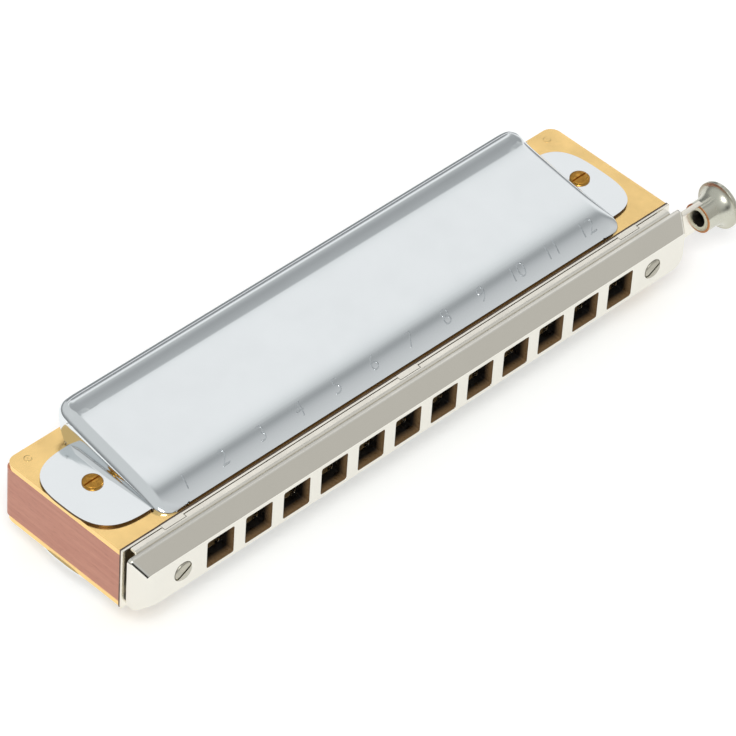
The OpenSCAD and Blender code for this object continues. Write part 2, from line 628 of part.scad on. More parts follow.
module upper_cover() color([0.85, 0.87, 0.88]) difference() {
    union() {
        difference() {
            cover_block(0);
            cover_block(cover_t);
            translate([-comb_half, 0, -comb_h]) cube([2 * comb_half, 2 * comb_depth, plate_top + comb_h]);
        }
        cover_tab(tab_out_high);
        mirror([1, 0, 0]) cover_tab(tab_out_low);
    }
    along_x(cover_half + cut) polygon([[cover_back_y - wall_back_in, plate_top],
        [cover_back_y + cut, plate_top], [cover_back_y + cut, vent_z], [cover_back_y - wall_top_in, vent_z]]);
    both_ends() translate([cover_screw_x, cover_screw_y, plate_top - cut])
        cylinder(h = 4 * cut, r = cover_screw_r + fit_gap);
}
module lower_cover() color([0.85, 0.87, 0.88]) below() upper_cover();

// Slotted cheese-head screws from the top, through the comb to the nuts
module cover_screws() color([0.85, 0.62, 0.25]) both_ends()
    translate([cover_screw_x, cover_screw_y]) cover_screw();
module cover_screw() difference() {
    top = plate_top + cover_t;
    union() {
        translate([0, 0, -top - cover_nut_h]) cylinder(h = 2 * top + cover_nut_h, r = cover_screw_r);
        translate([0, 0, top]) rotate_extrude() polygon([[0, 0], [cover_screw_head_r, 0],
            [cover_screw_head_r, cover_screw_head_h * 0.6],
            [cover_screw_head_r * 0.8, cover_screw_head_h * 0.9], [0, cover_screw_head_h]]);
    }
    translate([-2 * cover_screw_head_r, -driver_w / 2, top + cover_screw_head_h - driver_depth])
        cube([4 * cover_screw_head_r, driver_w, 2 * driver_depth]);
}

module cover_nuts() color([0.85, 0.62, 0.25]) both_ends()
    translate([cover_screw_x, cover_screw_y, -plate_top - cover_t - cover_nut_h]) difference() {
        cylinder(h = cover_nut_h, r = cover_nut_r);
        translate([0, 0, -cut]) cylinder(h = cover_nut_h + 2 * cut, r = cover_screw_r + fit_gap);
        translate([-2 * cover_nut_r, -driver_w / 2, -driver_depth])
            cube([4 * cover_nut_r, driver_w, 2 * driver_depth]);
    }

comb();
upper_reed_plate();
lower_reed_plate();
upper_draw_reeds();
upper_blow_reeds();
lower_draw_reeds();
lower_blow_reeds();
upper_reed_rivets();
lower_reed_rivets();
upper_outer_valves();
upper_inner_valves();
lower_outer_valves();
lower_inner_valves();
upper_plate_nails();
lower_plate_nails();
upper_cover();
lower_cover();
cover_screws();
cover_nuts();
mouthpiece();
mouthpiece_screws();
slide_channel();
slide_back_plate();
slide();
button();
return_spring();
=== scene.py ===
import bpy
import bmesh
import math
import numpy as np
from functools import partial
from mathutils import Matrix, Vector


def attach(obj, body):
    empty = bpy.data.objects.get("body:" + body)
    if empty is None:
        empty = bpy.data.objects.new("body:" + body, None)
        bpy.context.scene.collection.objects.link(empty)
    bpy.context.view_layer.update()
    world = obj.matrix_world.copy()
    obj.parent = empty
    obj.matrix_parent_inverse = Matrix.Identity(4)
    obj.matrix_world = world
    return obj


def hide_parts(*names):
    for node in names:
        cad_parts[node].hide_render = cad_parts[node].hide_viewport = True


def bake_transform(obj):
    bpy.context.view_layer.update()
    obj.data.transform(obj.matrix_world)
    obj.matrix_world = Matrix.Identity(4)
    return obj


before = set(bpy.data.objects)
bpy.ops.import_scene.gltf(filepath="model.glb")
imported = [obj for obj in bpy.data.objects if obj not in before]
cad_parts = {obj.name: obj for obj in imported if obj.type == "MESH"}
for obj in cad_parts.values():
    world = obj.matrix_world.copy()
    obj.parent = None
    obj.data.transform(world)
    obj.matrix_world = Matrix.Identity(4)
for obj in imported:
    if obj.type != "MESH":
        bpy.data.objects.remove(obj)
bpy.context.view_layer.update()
mm = 0.001
scene = bpy.context.scene
print("stage: CAD model loaded")

# sizes that several pieces share, in mm; x runs towards the button, y to the back, z up
common = {
    "holes": 12,
    "pitch": 9.3,
    "combHalf": 69.65,
    "combFront": 6.23,
    "combBack": 36.23,
    "plateInner": 5.65,   # height of the reed plate's inner face over the middle
    "plateTop": 6.7,
    "tabTop": 7.2,
    "reedThick": 0.25,
}

# what the whole picture depends on: the camera stands at the player's front left, well above
camera = {
    "place": (-0.50225, -0.44674, 0.62915),
    "right": (0.71070, -0.70153, 0.05248),
    "up": (0.44901, 0.50977, 0.73384),
    "fieldOfView": 8.264,  # degrees across the square picture
}

studio = {
    "floor": -0.01345,           # the floor lies under the lower cover's ridge
    "floorHalf": 3,
    "floorColour": "#f7f7f6",
    "floorLift": 0.26,           # what the floor lacks to pure white where no shadow falls
    "roomColour": "#d9dbdb",     # the room behind the player's left, soft and even
    "horizonColour": "#8b8d8e",  # and lower down, where it gets darker
    "horizon": (0.08, 0.55),     # height of the change
    # strip softboxes that run along the instrument, as the metal shows them: place from front (-1)
    # to back (1)
    "strips": ((-0.90, "#c2c1be"), (-0.60, "#cdccc9"), (-0.30, "#d9dadb"), (-0.17, "#dddede"),
               (-0.10, "#d3d4d4"), (-0.03, "#c8c9ca"), (0.02, "#babcbd"), (0.05, "#adafb0"),
               (0.09, "#a4a6a7"), (0.13, "#b4b6b7"), (0.16, "#d0d2d2"), (0.18, "#e8eaea"),
               (0.205, "#f8f9f9"), (0.22, "#ffffff"), (0.29, "#ffffff"), (0.32, "#939597"),
               (0.41, "#939597"), (0.44, "#ffffff"), (0.60, "#ffffff"), (0.66, "#8c8e90"),
               (0.95, "#969899")),
    "stripsFrom": (0.15, 0.35),  # the strips fade into the room between these places, left to right
    # dark card that draws the dark edges: its direction, and the cosines between which it fades
    "card": (-0.46, -0.88, 0.12), "cardEdge": (0.915, 0.975), "cardColour": "#2c2c2c",
    "keyPlace": (-0.75, -0.62, 1.25), "keyAim": (0, 0.02, 0), "keySize": (0.5, 0.5), "keyPower": 9.0,
}


def linearColour(code):
    out = []
    for k in (1, 3, 5):
        c = int(code[k:k + 2], 16) / 255
        out.append(c / 12.92 if c <= 0.04045 else ((c + 0.055) / 1.055) ** 2.4)
    return (*out, 1)


# sets a node's inputs to numbers, "#" colours, sockets, nodes (which give their first output) or
# tuples, whose parts can be any of these too
def setInputs(node, inputs):
    tree, linked = node.id_data, (bpy.types.Node, bpy.types.NodeSocket)
    for key, value in inputs.items():
        if isinstance(value, tuple) and any(isinstance(part, linked) for part in value):
            value = addNode(tree, "ShaderNodeCombineXYZ", dict(enumerate(value)))
        value = value.outputs[0] if isinstance(value, bpy.types.Node) else value
        if isinstance(value, bpy.types.NodeSocket):
            tree.links.new(value, node.inputs[key])
        else:
            node.inputs[key].default_value = linearColour(value) if isinstance(value, str) else value


# adds one node to a tree, with its own settings and its inputs
def addNode(tree, kind, inputs=None, **settings):
    node = tree.nodes.new(kind)
    for key, value in settings.items():
        setattr(node, key, value)
    setInputs(node, inputs or {})
    return node


# empties the tree of a world or a material, and gives what adds nodes to it
def emptyTree(owner):
    owner.use_nodes = True
    owner.node_tree.nodes.clear()
    return partial(addNode, owner.node_tree)


def newObject(data, name=None):
    obj = bpy.data.objects.new(name or data.name, data)
    scene.collection.objects.link(obj)
    return obj


def makeCamera():
    data = bpy.data.cameras.new("camera")
    data.sensor_width = 36
    data.lens = data.sensor_width / 2 / math.tan(math.radians(camera["fieldOfView"] / 2))
    data.clip_start, data.clip_end = 0.05, 20
    right, up = Vector(camera["right"]).normalized(), Vector(camera["up"])
    back = right.cross(up).normalized()
    up = back.cross(right)
    turn = Matrix((right, up, back)).transposed().to_4x4()
    scene.camera = newObject(data)
    scene.camera.matrix_world = Matrix.Translation(Vector(camera["place"])) @ turn


def makeLight():
    data = bpy.data.lights.new("keySoftbox", "AREA")
    data.shape = "RECTANGLE"
    data.size, data.size_y = studio["keySize"]
    data.energy = studio["keyPower"]
    obj = newObject(data)
    obj.location = studio["keyPlace"]
    obj.rotation_mode = "QUATERNION"
    aim = Vector(studio["keyAim"]) - Vector(studio["keyPlace"])
    obj.rotation_quaternion = aim.to_track_quat("-Z", "Y")


def makeWorld():
    world = bpy.data.worlds.new("studio")
    scene.world = world
    add = emptyTree(world)
    place = add("ShaderNodeTexCoord").outputs["Generated"]
    where = add("ShaderNodeSeparateXYZ", {0: place}).outputs
    along = add("ShaderNodeMapRange", {"Value": where["Y"], "From Min": -1, "From Max": 1})
    strips = add("ShaderNodeValToRGB", {"Fac": along})
    stops = strips.color_ramp.elements
    while len(stops) < len(studio["strips"]):
        stops.new(1.0)
    for stop, (at, colour) in zip(stops, studio["strips"]):
        stop.position, stop.color = (at + 1) / 2, linearColour(colour)
    card = add("ShaderNodeVectorMath", {0: place, 1: studio["card"]}, operation="DOT_PRODUCT")
    fades = []
    for value, key in ((where["Z"], "horizon"), (where["X"], "stripsFrom"),
                       (card.outputs["Value"], "cardEdge")):
        start, stop = studio[key]
        fades.append(add("ShaderNodeMapRange", {"Value": value, "From Min": start, "From Max": stop},
                         interpolation_type="SMOOTHSTEP"))
    path = add("ShaderNodeLightPath").outputs
    # the room gets lighter upwards, gives way to the strips and the card, and the camera sees white
    light = linearColour(studio["horizonColour"])
    for share, colour in ((fades[0], studio["roomColour"]), (fades[1], strips),
                          (fades[2], studio["cardColour"]), (path["Is Camera Ray"], (1, 1, 1, 1))):
        light = add("ShaderNodeMix", {0: share, 6: light, 7: colour}, data_type="RGBA").outputs[2]
    back = add("ShaderNodeBackground", {"Color": light, "Strength": 1})
    add("ShaderNodeOutputWorld", {"Surface": back})


def makeFloor():
    mesh = bpy.data.meshes.new("floor")
    h, z = studio["floorHalf"], studio["floor"]
    mesh.from_pydata([(-h, -h, z), (h, -h, z), (h, h, z), (-h, h, z)], [], [(0, 1, 2, 3)])
    floor = newObject(mesh)
    paper = bpy.data.materials.new("backdropPaper")  # matt white card: keeps the shadow, has no gloss
    add = emptyTree(paper)
    matt = add("ShaderNodeBsdfDiffuse", {"Color": studio["floorColour"]})
    path = add("ShaderNodeLightPath").outputs
    seen = path["Is Camera Ray"]
    for ray in ("Is Glossy Ray", "Is Transmission Ray"):
        seen = add("ShaderNodeMath", {0: seen, 1: path[ray]}, operation="MAXIMUM")
    lift = add("ShaderNodeMath", {0: seen, 1: studio["floorLift"]}, operation="MULTIPLY")
    glow = add("ShaderNodeEmission", {"Color": (1, 1, 1, 1), "Strength": lift})
    both = add("ShaderNodeAddShader", {0: matt, 1: glow})
    # a picture from under the floor leaves the paper out, so that the underside shows
    below = add("ShaderNodeNewGeometry").outputs["Backfacing"]
    out = add("ShaderNodeMath", {0: below, 1: path["Is Camera Ray"]}, operation="MULTIPLY")
    clear = add("ShaderNodeBsdfTransparent")
    shown = add("ShaderNodeMixShader", {0: out, 1: both, 2: clear})
    add("ShaderNodeOutputMaterial", {"Surface": shown})
    mesh.materials.append(paper)


makeCamera()
makeWorld()
makeFloor()
makeLight()
scene.view_settings.view_transform = "Standard"
print("stage: studio")

plainMetal = {"cloud": 0.2, "patch": 7, "streak": 6, "groove": 0.05, "metallic": 1}
finish = {
    # hard bright chrome over polished brass: a clean mirror, a little cool, clouded by handling
    "chromePlate": {"colour": "#e6eaec", "rough": 0.10, "cloud": 0.02, "streak": 9, "groove": 0.02},
    # chrome on the mouthpiece: thicker and warmer, rubbed by the lips to a soft mirror
    "mouthChrome": {"colour": "#e8e5dc", "rough": 0.12, "cloud": 0.04, "streak": 7, "groove": 0.02},
    # rolled brass sheet: straight faint lines along the plate, satin gloss
    "rolledBrass": {"colour": "#ffd992", "rough": 0.20, "cloud": 0.08, "streak": 14, "groove": 0.10},
    # ground reed brass: darker and finer lined than the plate
    "groundBrass": {"colour": "#d9a955", "rough": 0.26, "cloud": 0.08, "streak": 22, "groove": 0.12},
    # turned brass of the screws, browned by age
    "turnedBrass": {"colour": "#d9a048", "rough": 0.26, "cloud": 0.5, "streak": 5,
                    "groove": 0.08, "patch": 1.1},
    # brushed nickel silver of the slide and its housing
    "brushedNickel": {"colour": "#efebe0", "rough": 0.18, "cloud": 0.06, "streak": 18, "groove": 0.08},
    # the stamped hole numbers: the same chrome with a fine matt face, so that they read grey
    "etchedChrome": {"colour": "#ccd1d4", "rough": 0.22, "cloud": 0.03, "streak": 9, "groove": 0.02},
    # raw sheared edge of the covers' brass sheet, dark brown as painted shade: the shadow line in the
    # gap under the cover's front edge
    "shadedCutEdge": {"colour": "#5d4a33", "rough": 0.42, "cloud": 0.15},
    # the slide's back plate's rear edge at the seam with the comb: dark brown, painted shade of the gap
    # there
    "seamShade": {"colour": "#75665a", "rough": 0.4, "cloud": 0.3, "patch": 2.5},
    # inside of the mouth holes: thin plating, dull and brown, so that half of it looks matt, and nearly
    # black where it gets deep, which is painted shade (at: mm from the lips, from brown to black)
    "shadedBore": {"colour": "#a5845c", "rough": 0.42, "cloud": 0.6, "streak": 5, "groove": 0.3,
                 "metallic": 0.25, "patch": 0.9, "deep": {"colour": "#0f0b08", "at": (0.7, 2.0)}},
    # inside the button's stem, where no light comes
    "deepBore": {"colour": "#1c1510", "rough": 0.5, "streak": 5, "groove": 0.1, "metallic": 0.2},
    # the slide where it runs in the channel: darker and browner than its tongue, painted shade of the
    # channel's inside
    "shadedSlide": {"colour": "#a98f66", "rough": 0.36, "streak": 10, "groove": 0.2, "metallic": 0.4},
    # nickel of the mouthpiece's screws, greyed by drivers and fingers
    "screwNickel": {"colour": "#c4c0b2", "rough": 0.22, "cloud": 0.3, "streak": 4, "groove": 0.06},
    # copper-coloured brass where the button's plating has worn off its end
    "wornEnd": {"colour": "#c98f62", "rough": 0.35, "streak": 4},
    # hard drawn spring wire
    "drawnSteel": {"colour": "#9b9c9e", "rough": 0.32, "cloud": 0.08, "streak": 12},
    # nickel of the button, dulled by the thumb
    "wornNickel": {"colour": "#cfcec0", "rough": 0.20, "cloud": 0.14, "groove": 0.04},
}


# a new material, what adds its nodes, its shader and the coordinates of the piece
def newMaterial(name):
    mat = bpy.data.materials.new(name)
    mat.use_nodes = True
    add = partial(addNode, mat.node_tree)
    place = add("ShaderNodeTexCoord").outputs["Object"]
    return mat, add, mat.node_tree.nodes["Principled BSDF"], place


# metal with straight rolling or brushing lines along the instrument (streak = lines per mm) and dull
# clouds (patch = their size in mm)
def makeMetal(name, look):
    mat, add, shader, place = newMaterial(name)
    rough, cloud, fine = look["rough"], look["cloud"], 1000 * look["streak"] / 2
    stretch = add("ShaderNodeMapping", {"Vector": place, "Scale": (20, fine, fine)})
    lines = add("ShaderNodeTexNoise", {"Vector": stretch, "Scale": 1, "Detail": 2, "Roughness": 0.5})
    clouds = add("ShaderNodeTexNoise", {"Vector": place, "Detail": 4, "Roughness": 0.6,
                 "Scale": 1000 / look["patch"]})
    dull = add("ShaderNodeMapRange", {"Value": clouds, "From Min": 0.3, "From Max": 0.7,
               "To Min": rough - cloud / 2, "To Max": rough + cloud})
    base = linearColour(look["colour"])
    dim = tuple(c * (1 - cloud) for c in base[:3]) + (1,)
    tint = add("ShaderNodeMix", {0: clouds, 6: base, 7: dim}, data_type="RGBA")
    # painted shade: the colour darkens towards near black with the depth into a hole
    if "deep" in look:
        start, stop = look["deep"]["at"]
        where = add("ShaderNodeSeparateXYZ", {0: place}).outputs["Y"]
        depth = add("ShaderNodeMapRange", {"Value": where, "From Min": start * mm,
                    "From Max": stop * mm})
        tint = add("ShaderNodeMix", {0: depth, 6: tint.outputs[2], 7: look["deep"]["colour"]},
                   data_type="RGBA")
    bump = add("ShaderNodeBump", {"Height": lines, "Strength": look["groove"], "Distance": 0.00005})
    setInputs(shader, {"Metallic": look["metallic"], "Roughness": dull,
                       "Base Color": tint.outputs[2], "Normal": bump})
    return mat


pearWood = {
    "light": "#cf8d75", "dark": "#c07c66", "pores": "#a5644f",
    "ring": 0.55,     # mm between growth lines
    "pore": 0.10,     # mm, drawn coarser than the real pores so that it shows
    "lacquer": 0.42,
}


# planed pear wood under clear lacquer: even pinkish brown, close straight grain along the comb, a soft
# sheen
def makeWood(look):
    mat, add, shader, place = newMaterial("pearWood")
    along = add("ShaderNodeMapping", {"Vector": place, "Rotation": (0.28, 0.02, 0.03),
                "Scale": (12, 55, 1000 / look["ring"] / 2)})
    rings = add("ShaderNodeTexNoise", {"Vector": along, "Scale": 1, "Detail": 4, "Roughness": 0.55,
                "Distortion": 0.2})
    thin = add("ShaderNodeMapping", {"Vector": place, "Rotation": (0.28, 0, 0),
               "Scale": (90, 600, 1000 / look["pore"] / 3)})
    pores = add("ShaderNodeTexNoise", {"Vector": thin, "Scale": 1, "Detail": 3})
    tone = add("ShaderNodeMapRange", {"Value": rings, "From Min": 0.3, "From Max": 0.7})
    wood = add("ShaderNodeMix", {0: tone, 6: look["light"], 7: look["dark"]}, data_type="RGBA")
    depth = add("ShaderNodeMapRange", {"Value": pores, "From Min": 0.55, "From Max": 0.72,
                "To Min": 0, "To Max": 0.4})
    speck = add("ShaderNodeMix", {0: depth, 6: wood.outputs[2], 7: look["pores"]}, data_type="RGBA")
    bump = add("ShaderNodeBump", {"Height": pores, "Strength": 0.12, "Distance": 0.0001})
    setInputs(shader, {"Base Color": speck.outputs[2], "Normal": bump, "Roughness": look["lacquer"],
                       "Coat Weight": 0.15, "Coat Roughness": 0.25})
    return mat


# thin matt polyester film of the valves, slightly yellowed
def makeFilm():
    mat, add, shader, place = newMaterial("valveFilm")
    clouds = add("ShaderNodeTexNoise", {"Vector": place, "Scale": 900, "Detail": 3})
    tint = add("ShaderNodeMix", {0: clouds, 6: "#f3f1e6", 7: "#e4dfcd"}, data_type="RGBA")
    setInputs(shader, {"Base Color": tint.outputs[2], "Roughness": 0.55})
    return mat


materials = {name: makeMetal(name, plainMetal | look) for name, look in finish.items()}
materials["pearWood"] = makeWood(pearWood)
materials["valveFilm"] = makeFilm()
print("stage: materials")


# makes a mesh a finished piece; look is one finish, or more where faces carry an index
def addPiece(name, mesh, look, body, slot, *nodes):
    look = (look,) if isinstance(look, str) else look
    obj = newObject(mesh, name)
    index = [0] * len(mesh.polygons)
    mesh.polygons.foreach_get("material_index", index)
    mesh.materials.clear()
    for finishName in look:
        mesh.materials.append(materials[finishName])
    mesh.polygons.foreach_set("material_index", [min(k, len(look) - 1) for k in index])
    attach(obj, body)
    if nodes:
        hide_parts(*nodes)
    return obj


# the plain mesh that modifiers, each a kind with its settings, make of some data
def modified(data, name, **modifiers):
    obj = newObject(data)
    for kind, settings in modifiers.items():
        modifier = obj.modifiers.new(kind, kind)
        for key, value in settings.items():
            if hasattr(modifier, key):
                setattr(modifier, key, value)
            else:  # an input of the modifier's tree
                modifier[key] = value
    deps = bpy.context.evaluated_depsgraph_get()
    mesh = bpy.data.meshes.new_from_object(obj.evaluated_get(deps), depsgraph=deps)
    mesh.name = name
    bpy.data.objects.remove(obj)
    if data.users == 0 and isinstance(data, bpy.types.Mesh):
        bpy.data.meshes.remove(data)
    return mesh


# smooth shading, with sharp edges where faces meet at more than an angle in degrees
def smoothFaces(mesh, sharpFrom=None):
    mesh.polygons.foreach_set("use_smooth", [True] * len(mesh.polygons))
    if sharpFrom:
        mesh.set_sharp_from_angle(angle=math.radians(sharpFrom))
    return mesh


def meshOf(name, points, faces):
    mesh = bpy.data.meshes.new(name)
    mesh.from_pydata([tuple(float(c) * mm for c in p) for p in points], [], faces)
    mesh.update()
    return smoothFaces(mesh)


# closed rings of points joined in order, with both ends filled
def loft(name, rings):
    n, last = len(rings[0]), len(rings) - 1
    faces = [(j * n + i, j * n + (i + 1) % n, (j + 1) * n + (i + 1) % n, (j + 1) * n + i)
             for j in range(last) for i in range(n)]
    ends = [tuple(range(n))[::-1], tuple(range(last * n, (last + 1) * n))]
    return meshOf(name, [p for ring in rings for p in ring], faces + ends)


def cutAcross(bm, place, normal, **more):
    return bmesh.ops.bisect_plane(bm, geom=bm.verts[:] + bm.edges[:] + bm.faces[:], plane_co=place,
                                  plane_no=normal, **more)


# covers: the sheet's outer face is drawn, given its thickness, and cut square at its edges

cover = {
    "half": 58.7,            # half length at the foot of the end walls
    "front": 6.68, "back": 36.43,
    "frontEdge": 7.17,       # height of the cut front edge's upper corner
    # tilt of the outer face in degrees, from the front slope over the soft crease and the flat to the
    # ridge, softened over so many steps each way
    "tiltAt": (6.6, 8.5, 10.0, 10.9, 12.0, 14.0, 16.0, 28.3, 30.2, 31.2, 32.3, 33.9, 34.3),
    "tilt": (24.5, 21.5, 17.5, 15.0, 12.8, 11.2, 10.35, 10.35, 11.2, 12.2, 15.6, 16.0, 15.0),
    "step": 0.01, "softSteps": 30,
    "lean": 6.0,             # degrees, the end walls
    "wallRound": 2.6, "ridgeRound": 1.5, "frontRound": 3.1,
    "wallFall": 0.7,         # where the wall is low, the roll falls by this share of it at most
    "cornerRound": 3.0,      # in plan, at the back; the skirt's columns start this far in:
    "skirt": 5.0,
    "fillet": 1.0,           # where the tabs bend up into the walls
    "sheet": 0.5,
    "tabMiddle": 20.6, "tabHalf": 10.75, "tabSquare": 3.0,
    "tabReach": (11.2, 8.0),  # low end, button end
    "tabLift": 0.015, "tabEase": 2.5,
    "footBelow": 0.75, "footEase": 0.8,  # beside the tabs the wall runs on down, to be cut level
    "ventTop": 11.3, "ventFoot": 32.43, "ventHead": 35.13,
    "columns": 61, "rollSteps": 15, "wallSteps": 7, "sharpFrom": 40,
    "least": 0.01,           # mm that every bend keeps, so that no face vanishes
    "look": ("chromePlate", "shadedCutEdge"),
}


def smoothStep(t):
    t = np.clip(t, 0, 1)
    return t * t * (3 - 2 * t)


# height of the cover's outer face up to the crest of the ridge, by adding up the tilt
depths = np.arange(6.0, cover["back"], cover["step"])
tilts = np.interp(depths, cover["tiltAt"], cover["tilt"])
kernel = 2 * cover["softSteps"] + 1
tilts = np.pad(tilts, cover["softSteps"], mode="edge")
tilts = np.convolve(tilts, np.ones(kernel) / kernel, mode="valid")
heights = np.cumsum(np.tan(np.radians(tilts))) * cover["step"]
heights += cover["frontEdge"] - np.interp(cover["front"], depths, heights)
crestY = cover["back"] - cover["ridgeRound"]
lastTilt = math.radians(cover["tilt"][-1])
rollY = crestY - cover["ridgeRound"] * math.sin(lastTilt)
rollZ = np.interp(rollY, depths, heights) - cover["ridgeRound"] * math.cos(lastTilt)


def coverTop(y):
    y = np.minimum(y, crestY)
    r = cover["ridgeRound"]
    rolled = rollZ + np.sqrt(r ** 2 - np.minimum(crestY - y, r) ** 2)
    return np.where(y > rollY, rolled, np.interp(y, depths, heights))


# one column of the skirt in plan direction (nx, ny): over the roll, down the wall, out along the tab
def skirtColumn(x, y, nx, ny):
    c = cover
    plate, reach = common["plateTop"], c["skirt"]
    inset = 0.0
    if nx and ny:  # round the corner the wall stands further out than the columns' own circle
        t, most, span = reach - c["cornerRound"], max(abs(nx), abs(ny)), abs(nx) + abs(ny)
        if span - most < most * t / reach:
            inset = reach - reach / most
        else:
            inset = reach - (t * span + math.sqrt(t * t * (span * span - 2) + c["cornerRound"] ** 2))
    footY = y + ny * (reach - inset)
    inside = c["tabHalf"] - abs(y - c["tabMiddle"])
    inForce = float(smoothStep(inside / c["tabEase"]))
    seat = common["tabTop"] + c["tabLift"] - c["footBelow"] * float(smoothStep(-inside / c["footEase"]))
    high = float(coverTop(footY)) - plate
    lean = math.radians(c["lean"]) * nx * nx
    rollRound = c["wallRound"] * nx * nx + c["ridgeRound"] * ny * ny
    fall = min(rollRound, c["wallFall"] * high)
    rollEnd = math.atan2(rollRound, fall * math.tan(lean)) if lean > 0 else math.pi / 2
    wallFrom = fall * (1 - math.cos(rollEnd))
    ahead = min(c["frontRound"], c["front"] + c["frontRound"] - y)  # how far into the front corner
    if ny == 0 and ahead > 0:
        inset = c["frontRound"] - math.sqrt(c["frontRound"] ** 2 - ahead ** 2)
    middle = inset + (high - wallFrom) * math.tan(lean) + rollRound * math.sin(rollEnd)
    path = [(middle + (reach - middle) * t, 0) for t in (1, 0.75, 0.5, 0.25, 0)]
    path += [(middle - rollRound * math.sin(a), fall * (1 - math.cos(a)))
             for a in np.linspace(0, rollEnd, c["rollSteps"])[1:]]
    room = high - (seat - plate) - wallFrom - 2 * c["least"]
    fillet = max(c["least"], min(2 * c["least"] + c["fillet"] * inForce * abs(nx), room))
    foot = max(wallFrom + c["least"], high - (seat + fillet - plate))
    for t in np.linspace(0, 1, c["wallSteps"])[1:]:
        drop = wallFrom + (foot - wallFrom) * t
        path.append((inset + (high - drop) * math.tan(lean), drop))
    start = path[-1][0]
    path += [(start - fillet * (1 - math.cos(a)), foot + fillet * math.sin(a))
             for a in np.radians((18, 36, 54, 72, 90))]
    edge = start - fillet
    if inside > 0 and ny == 0:
        side = c["tabReach"][0 if nx < 0 else 1]
        share = min(1, abs(y - c["tabMiddle"]) / c["tabHalf"])
        edge = min(edge, -side * (1 - share ** c["tabSquare"]) ** (1 / c["tabSquare"]))
    last = path[-1]
    path += [(last[0] + (edge - last[0]) * t, last[1]) for t in (0.12, 0.3, 0.55, 0.8, 1)]
    out = []
    for d, drop in path:
        px, py = x + nx * (reach - d), y + ny * (reach - d)
        out.append((px, py, float(coverTop(py if ny else y)) - drop))
    return out


# the outer face: a grid for the top and the ring of skirt columns round its ends and back
def coverFace(name):
    c = cover
    inX, inY = c["half"] - c["skirt"], c["back"] - c["skirt"]
    # the rows of the grid are close together at the front, the crease and the tabs' ends
    theta = np.radians(np.arange(-87, 88, 6))
    reach = np.sign(theta) * np.abs(np.sin(theta)) ** (2 / c["tabSquare"])
    tabEdge = c["tabMiddle"] + c["tabHalf"] * reach
    ends = [c["tabMiddle"] + s * (c["tabHalf"] + o) for s in (-1, 1) for o in (0.002, 0.4, 0.8)]
    turn = c["front"] + c["frontRound"] * (1 - np.sin(np.radians(np.arange(0, 91, 9))))
    ys = np.unique(np.round(np.concatenate([[6.1, 6.4], turn, np.arange(9.4, 13, 0.25), tabEdge, ends,
                                            np.arange(13, inY, 0.9), [inY]]), 4))
    ys = ys[np.concatenate([[True], np.diff(ys) > 0.0015])]
    xs = np.linspace(-inX, inX, c["columns"])
    fan = np.radians(np.arange(0, 91, 5))
    ring = [skirtColumn(-inX, y, -1, 0) for y in ys]
    ring += [skirtColumn(-inX, inY, -math.cos(a), math.sin(a)) for a in fan[1:-1]]
    ring += [skirtColumn(x, inY, 0, 1) for x in xs]
    ring += [skirtColumn(inX, inY, math.sin(a), math.cos(a)) for a in fan[1:-1]]
    ring += [skirtColumn(inX, y, 1, 0) for y in ys[::-1]]
    gy, gx = np.meshgrid(ys, xs, indexing="ij")
    points, faces = [], []
    for grid in (np.stack([gx, gy, coverTop(gy)], axis=2), np.array(ring)):
        count, across = grid.shape[:2]
        first = len(points)
        points.extend(grid.reshape(-1, 3))
        for i in range(count - 1):
            for j in range(across - 1):
                k = first + i * across + j
                faces.append((k, k + 1, k + across + 1, k + across))
    return meshOf(name, points, faces)


def turnUp(bm):
    bmesh.ops.recalc_face_normals(bm, faces=bm.faces)
    if sum(f.normal.z * f.calc_area() for f in bm.faces) < 0:
        bmesh.ops.reverse_faces(bm, faces=bm.faces)


def coverMesh(name):
    c = cover
    mesh = coverFace(name)
    bm = bmesh.new()
    bm.from_mesh(mesh)
    bmesh.ops.remove_doubles(bm, verts=bm.verts, dist=2e-6)
    bmesh.ops.dissolve_degenerate(bm, edges=bm.edges, dist=1e-6)
    # the back stays open below the ridge, and the end walls' back edges slant
    head, heel = Vector((c["ventHead"], c["ventTop"])), Vector((c["ventFoot"], common["plateTop"]))
    slant = (heel - head).normalized()
    cutAcross(bm, (0, 0, c["ventTop"] * mm), (0, 0, 1))
    cutAcross(bm, (0, head.x * mm, head.y * mm), (0, -slant.y, slant.x))
    gone = []
    for f in bm.faces:
        q = f.calc_center_median() / mm
        behind = (q.y - head.x) - (q.z - head.y) * (heel.x - head.x) / (heel.y - head.y)
        if q.z < c["ventTop"] and behind > 0:
            gone.append(f)
    bmesh.ops.delete(bm, geom=gone, context="FACES")
    turnUp(bm)
    bm.to_mesh(mesh)
    bm.free()
    for finishName in c["look"]:
        mesh.materials.append(materials[finishName])
    # the rim, and below it the cut front face, take the second finish: dark brown painted shade
    mesh = modified(mesh, name, SOLIDIFY={"thickness": c["sheet"] * mm, "offset": -1,
                    "use_even_offset": False, "material_offset_rim": 1})
    # the sheet is cut off square at the front and level at the foot
    bm = bmesh.new()
    bm.from_mesh(mesh)
    for place, normal, material in (((0, c["front"] * mm, 0), (0, 1, 0), 1),
                                    ((0, 0, common["plateTop"] * mm), (0, 0, 1), 0)):
        cut = cutAcross(bm, place, normal, clear_inner=True)["geom_cut"]
        edges = [e for e in cut if isinstance(e, bmesh.types.BMEdge)]
        for f in bmesh.ops.triangle_fill(bm, use_beauty=True, edges=edges)["geom"]:
            if isinstance(f, bmesh.types.BMFace):
                f.material_index = material
    bmesh.ops.recalc_face_normals(bm, faces=bm.faces)
    bm.to_mesh(mesh)
    bm.free()
    return smoothFaces(mesh, c["sharpFrom"])


def flipped(mesh, name):
    copy = mesh.copy()
    copy.name = name
    copy.transform(Matrix.Diagonal((1, 1, -1, 1)))
    copy.flip_normals()
    return copy


upperCover = addPiece("upperCover", coverMesh("upperCover"), cover["look"], "body", "cover_chrome",
                      "upper_cover")
addPiece("lowerCover", flipped(upperCover.data, "lowerCover"), "chromePlate", "body", "cover_chrome",
         "lower_cover")
print("stage: covers")

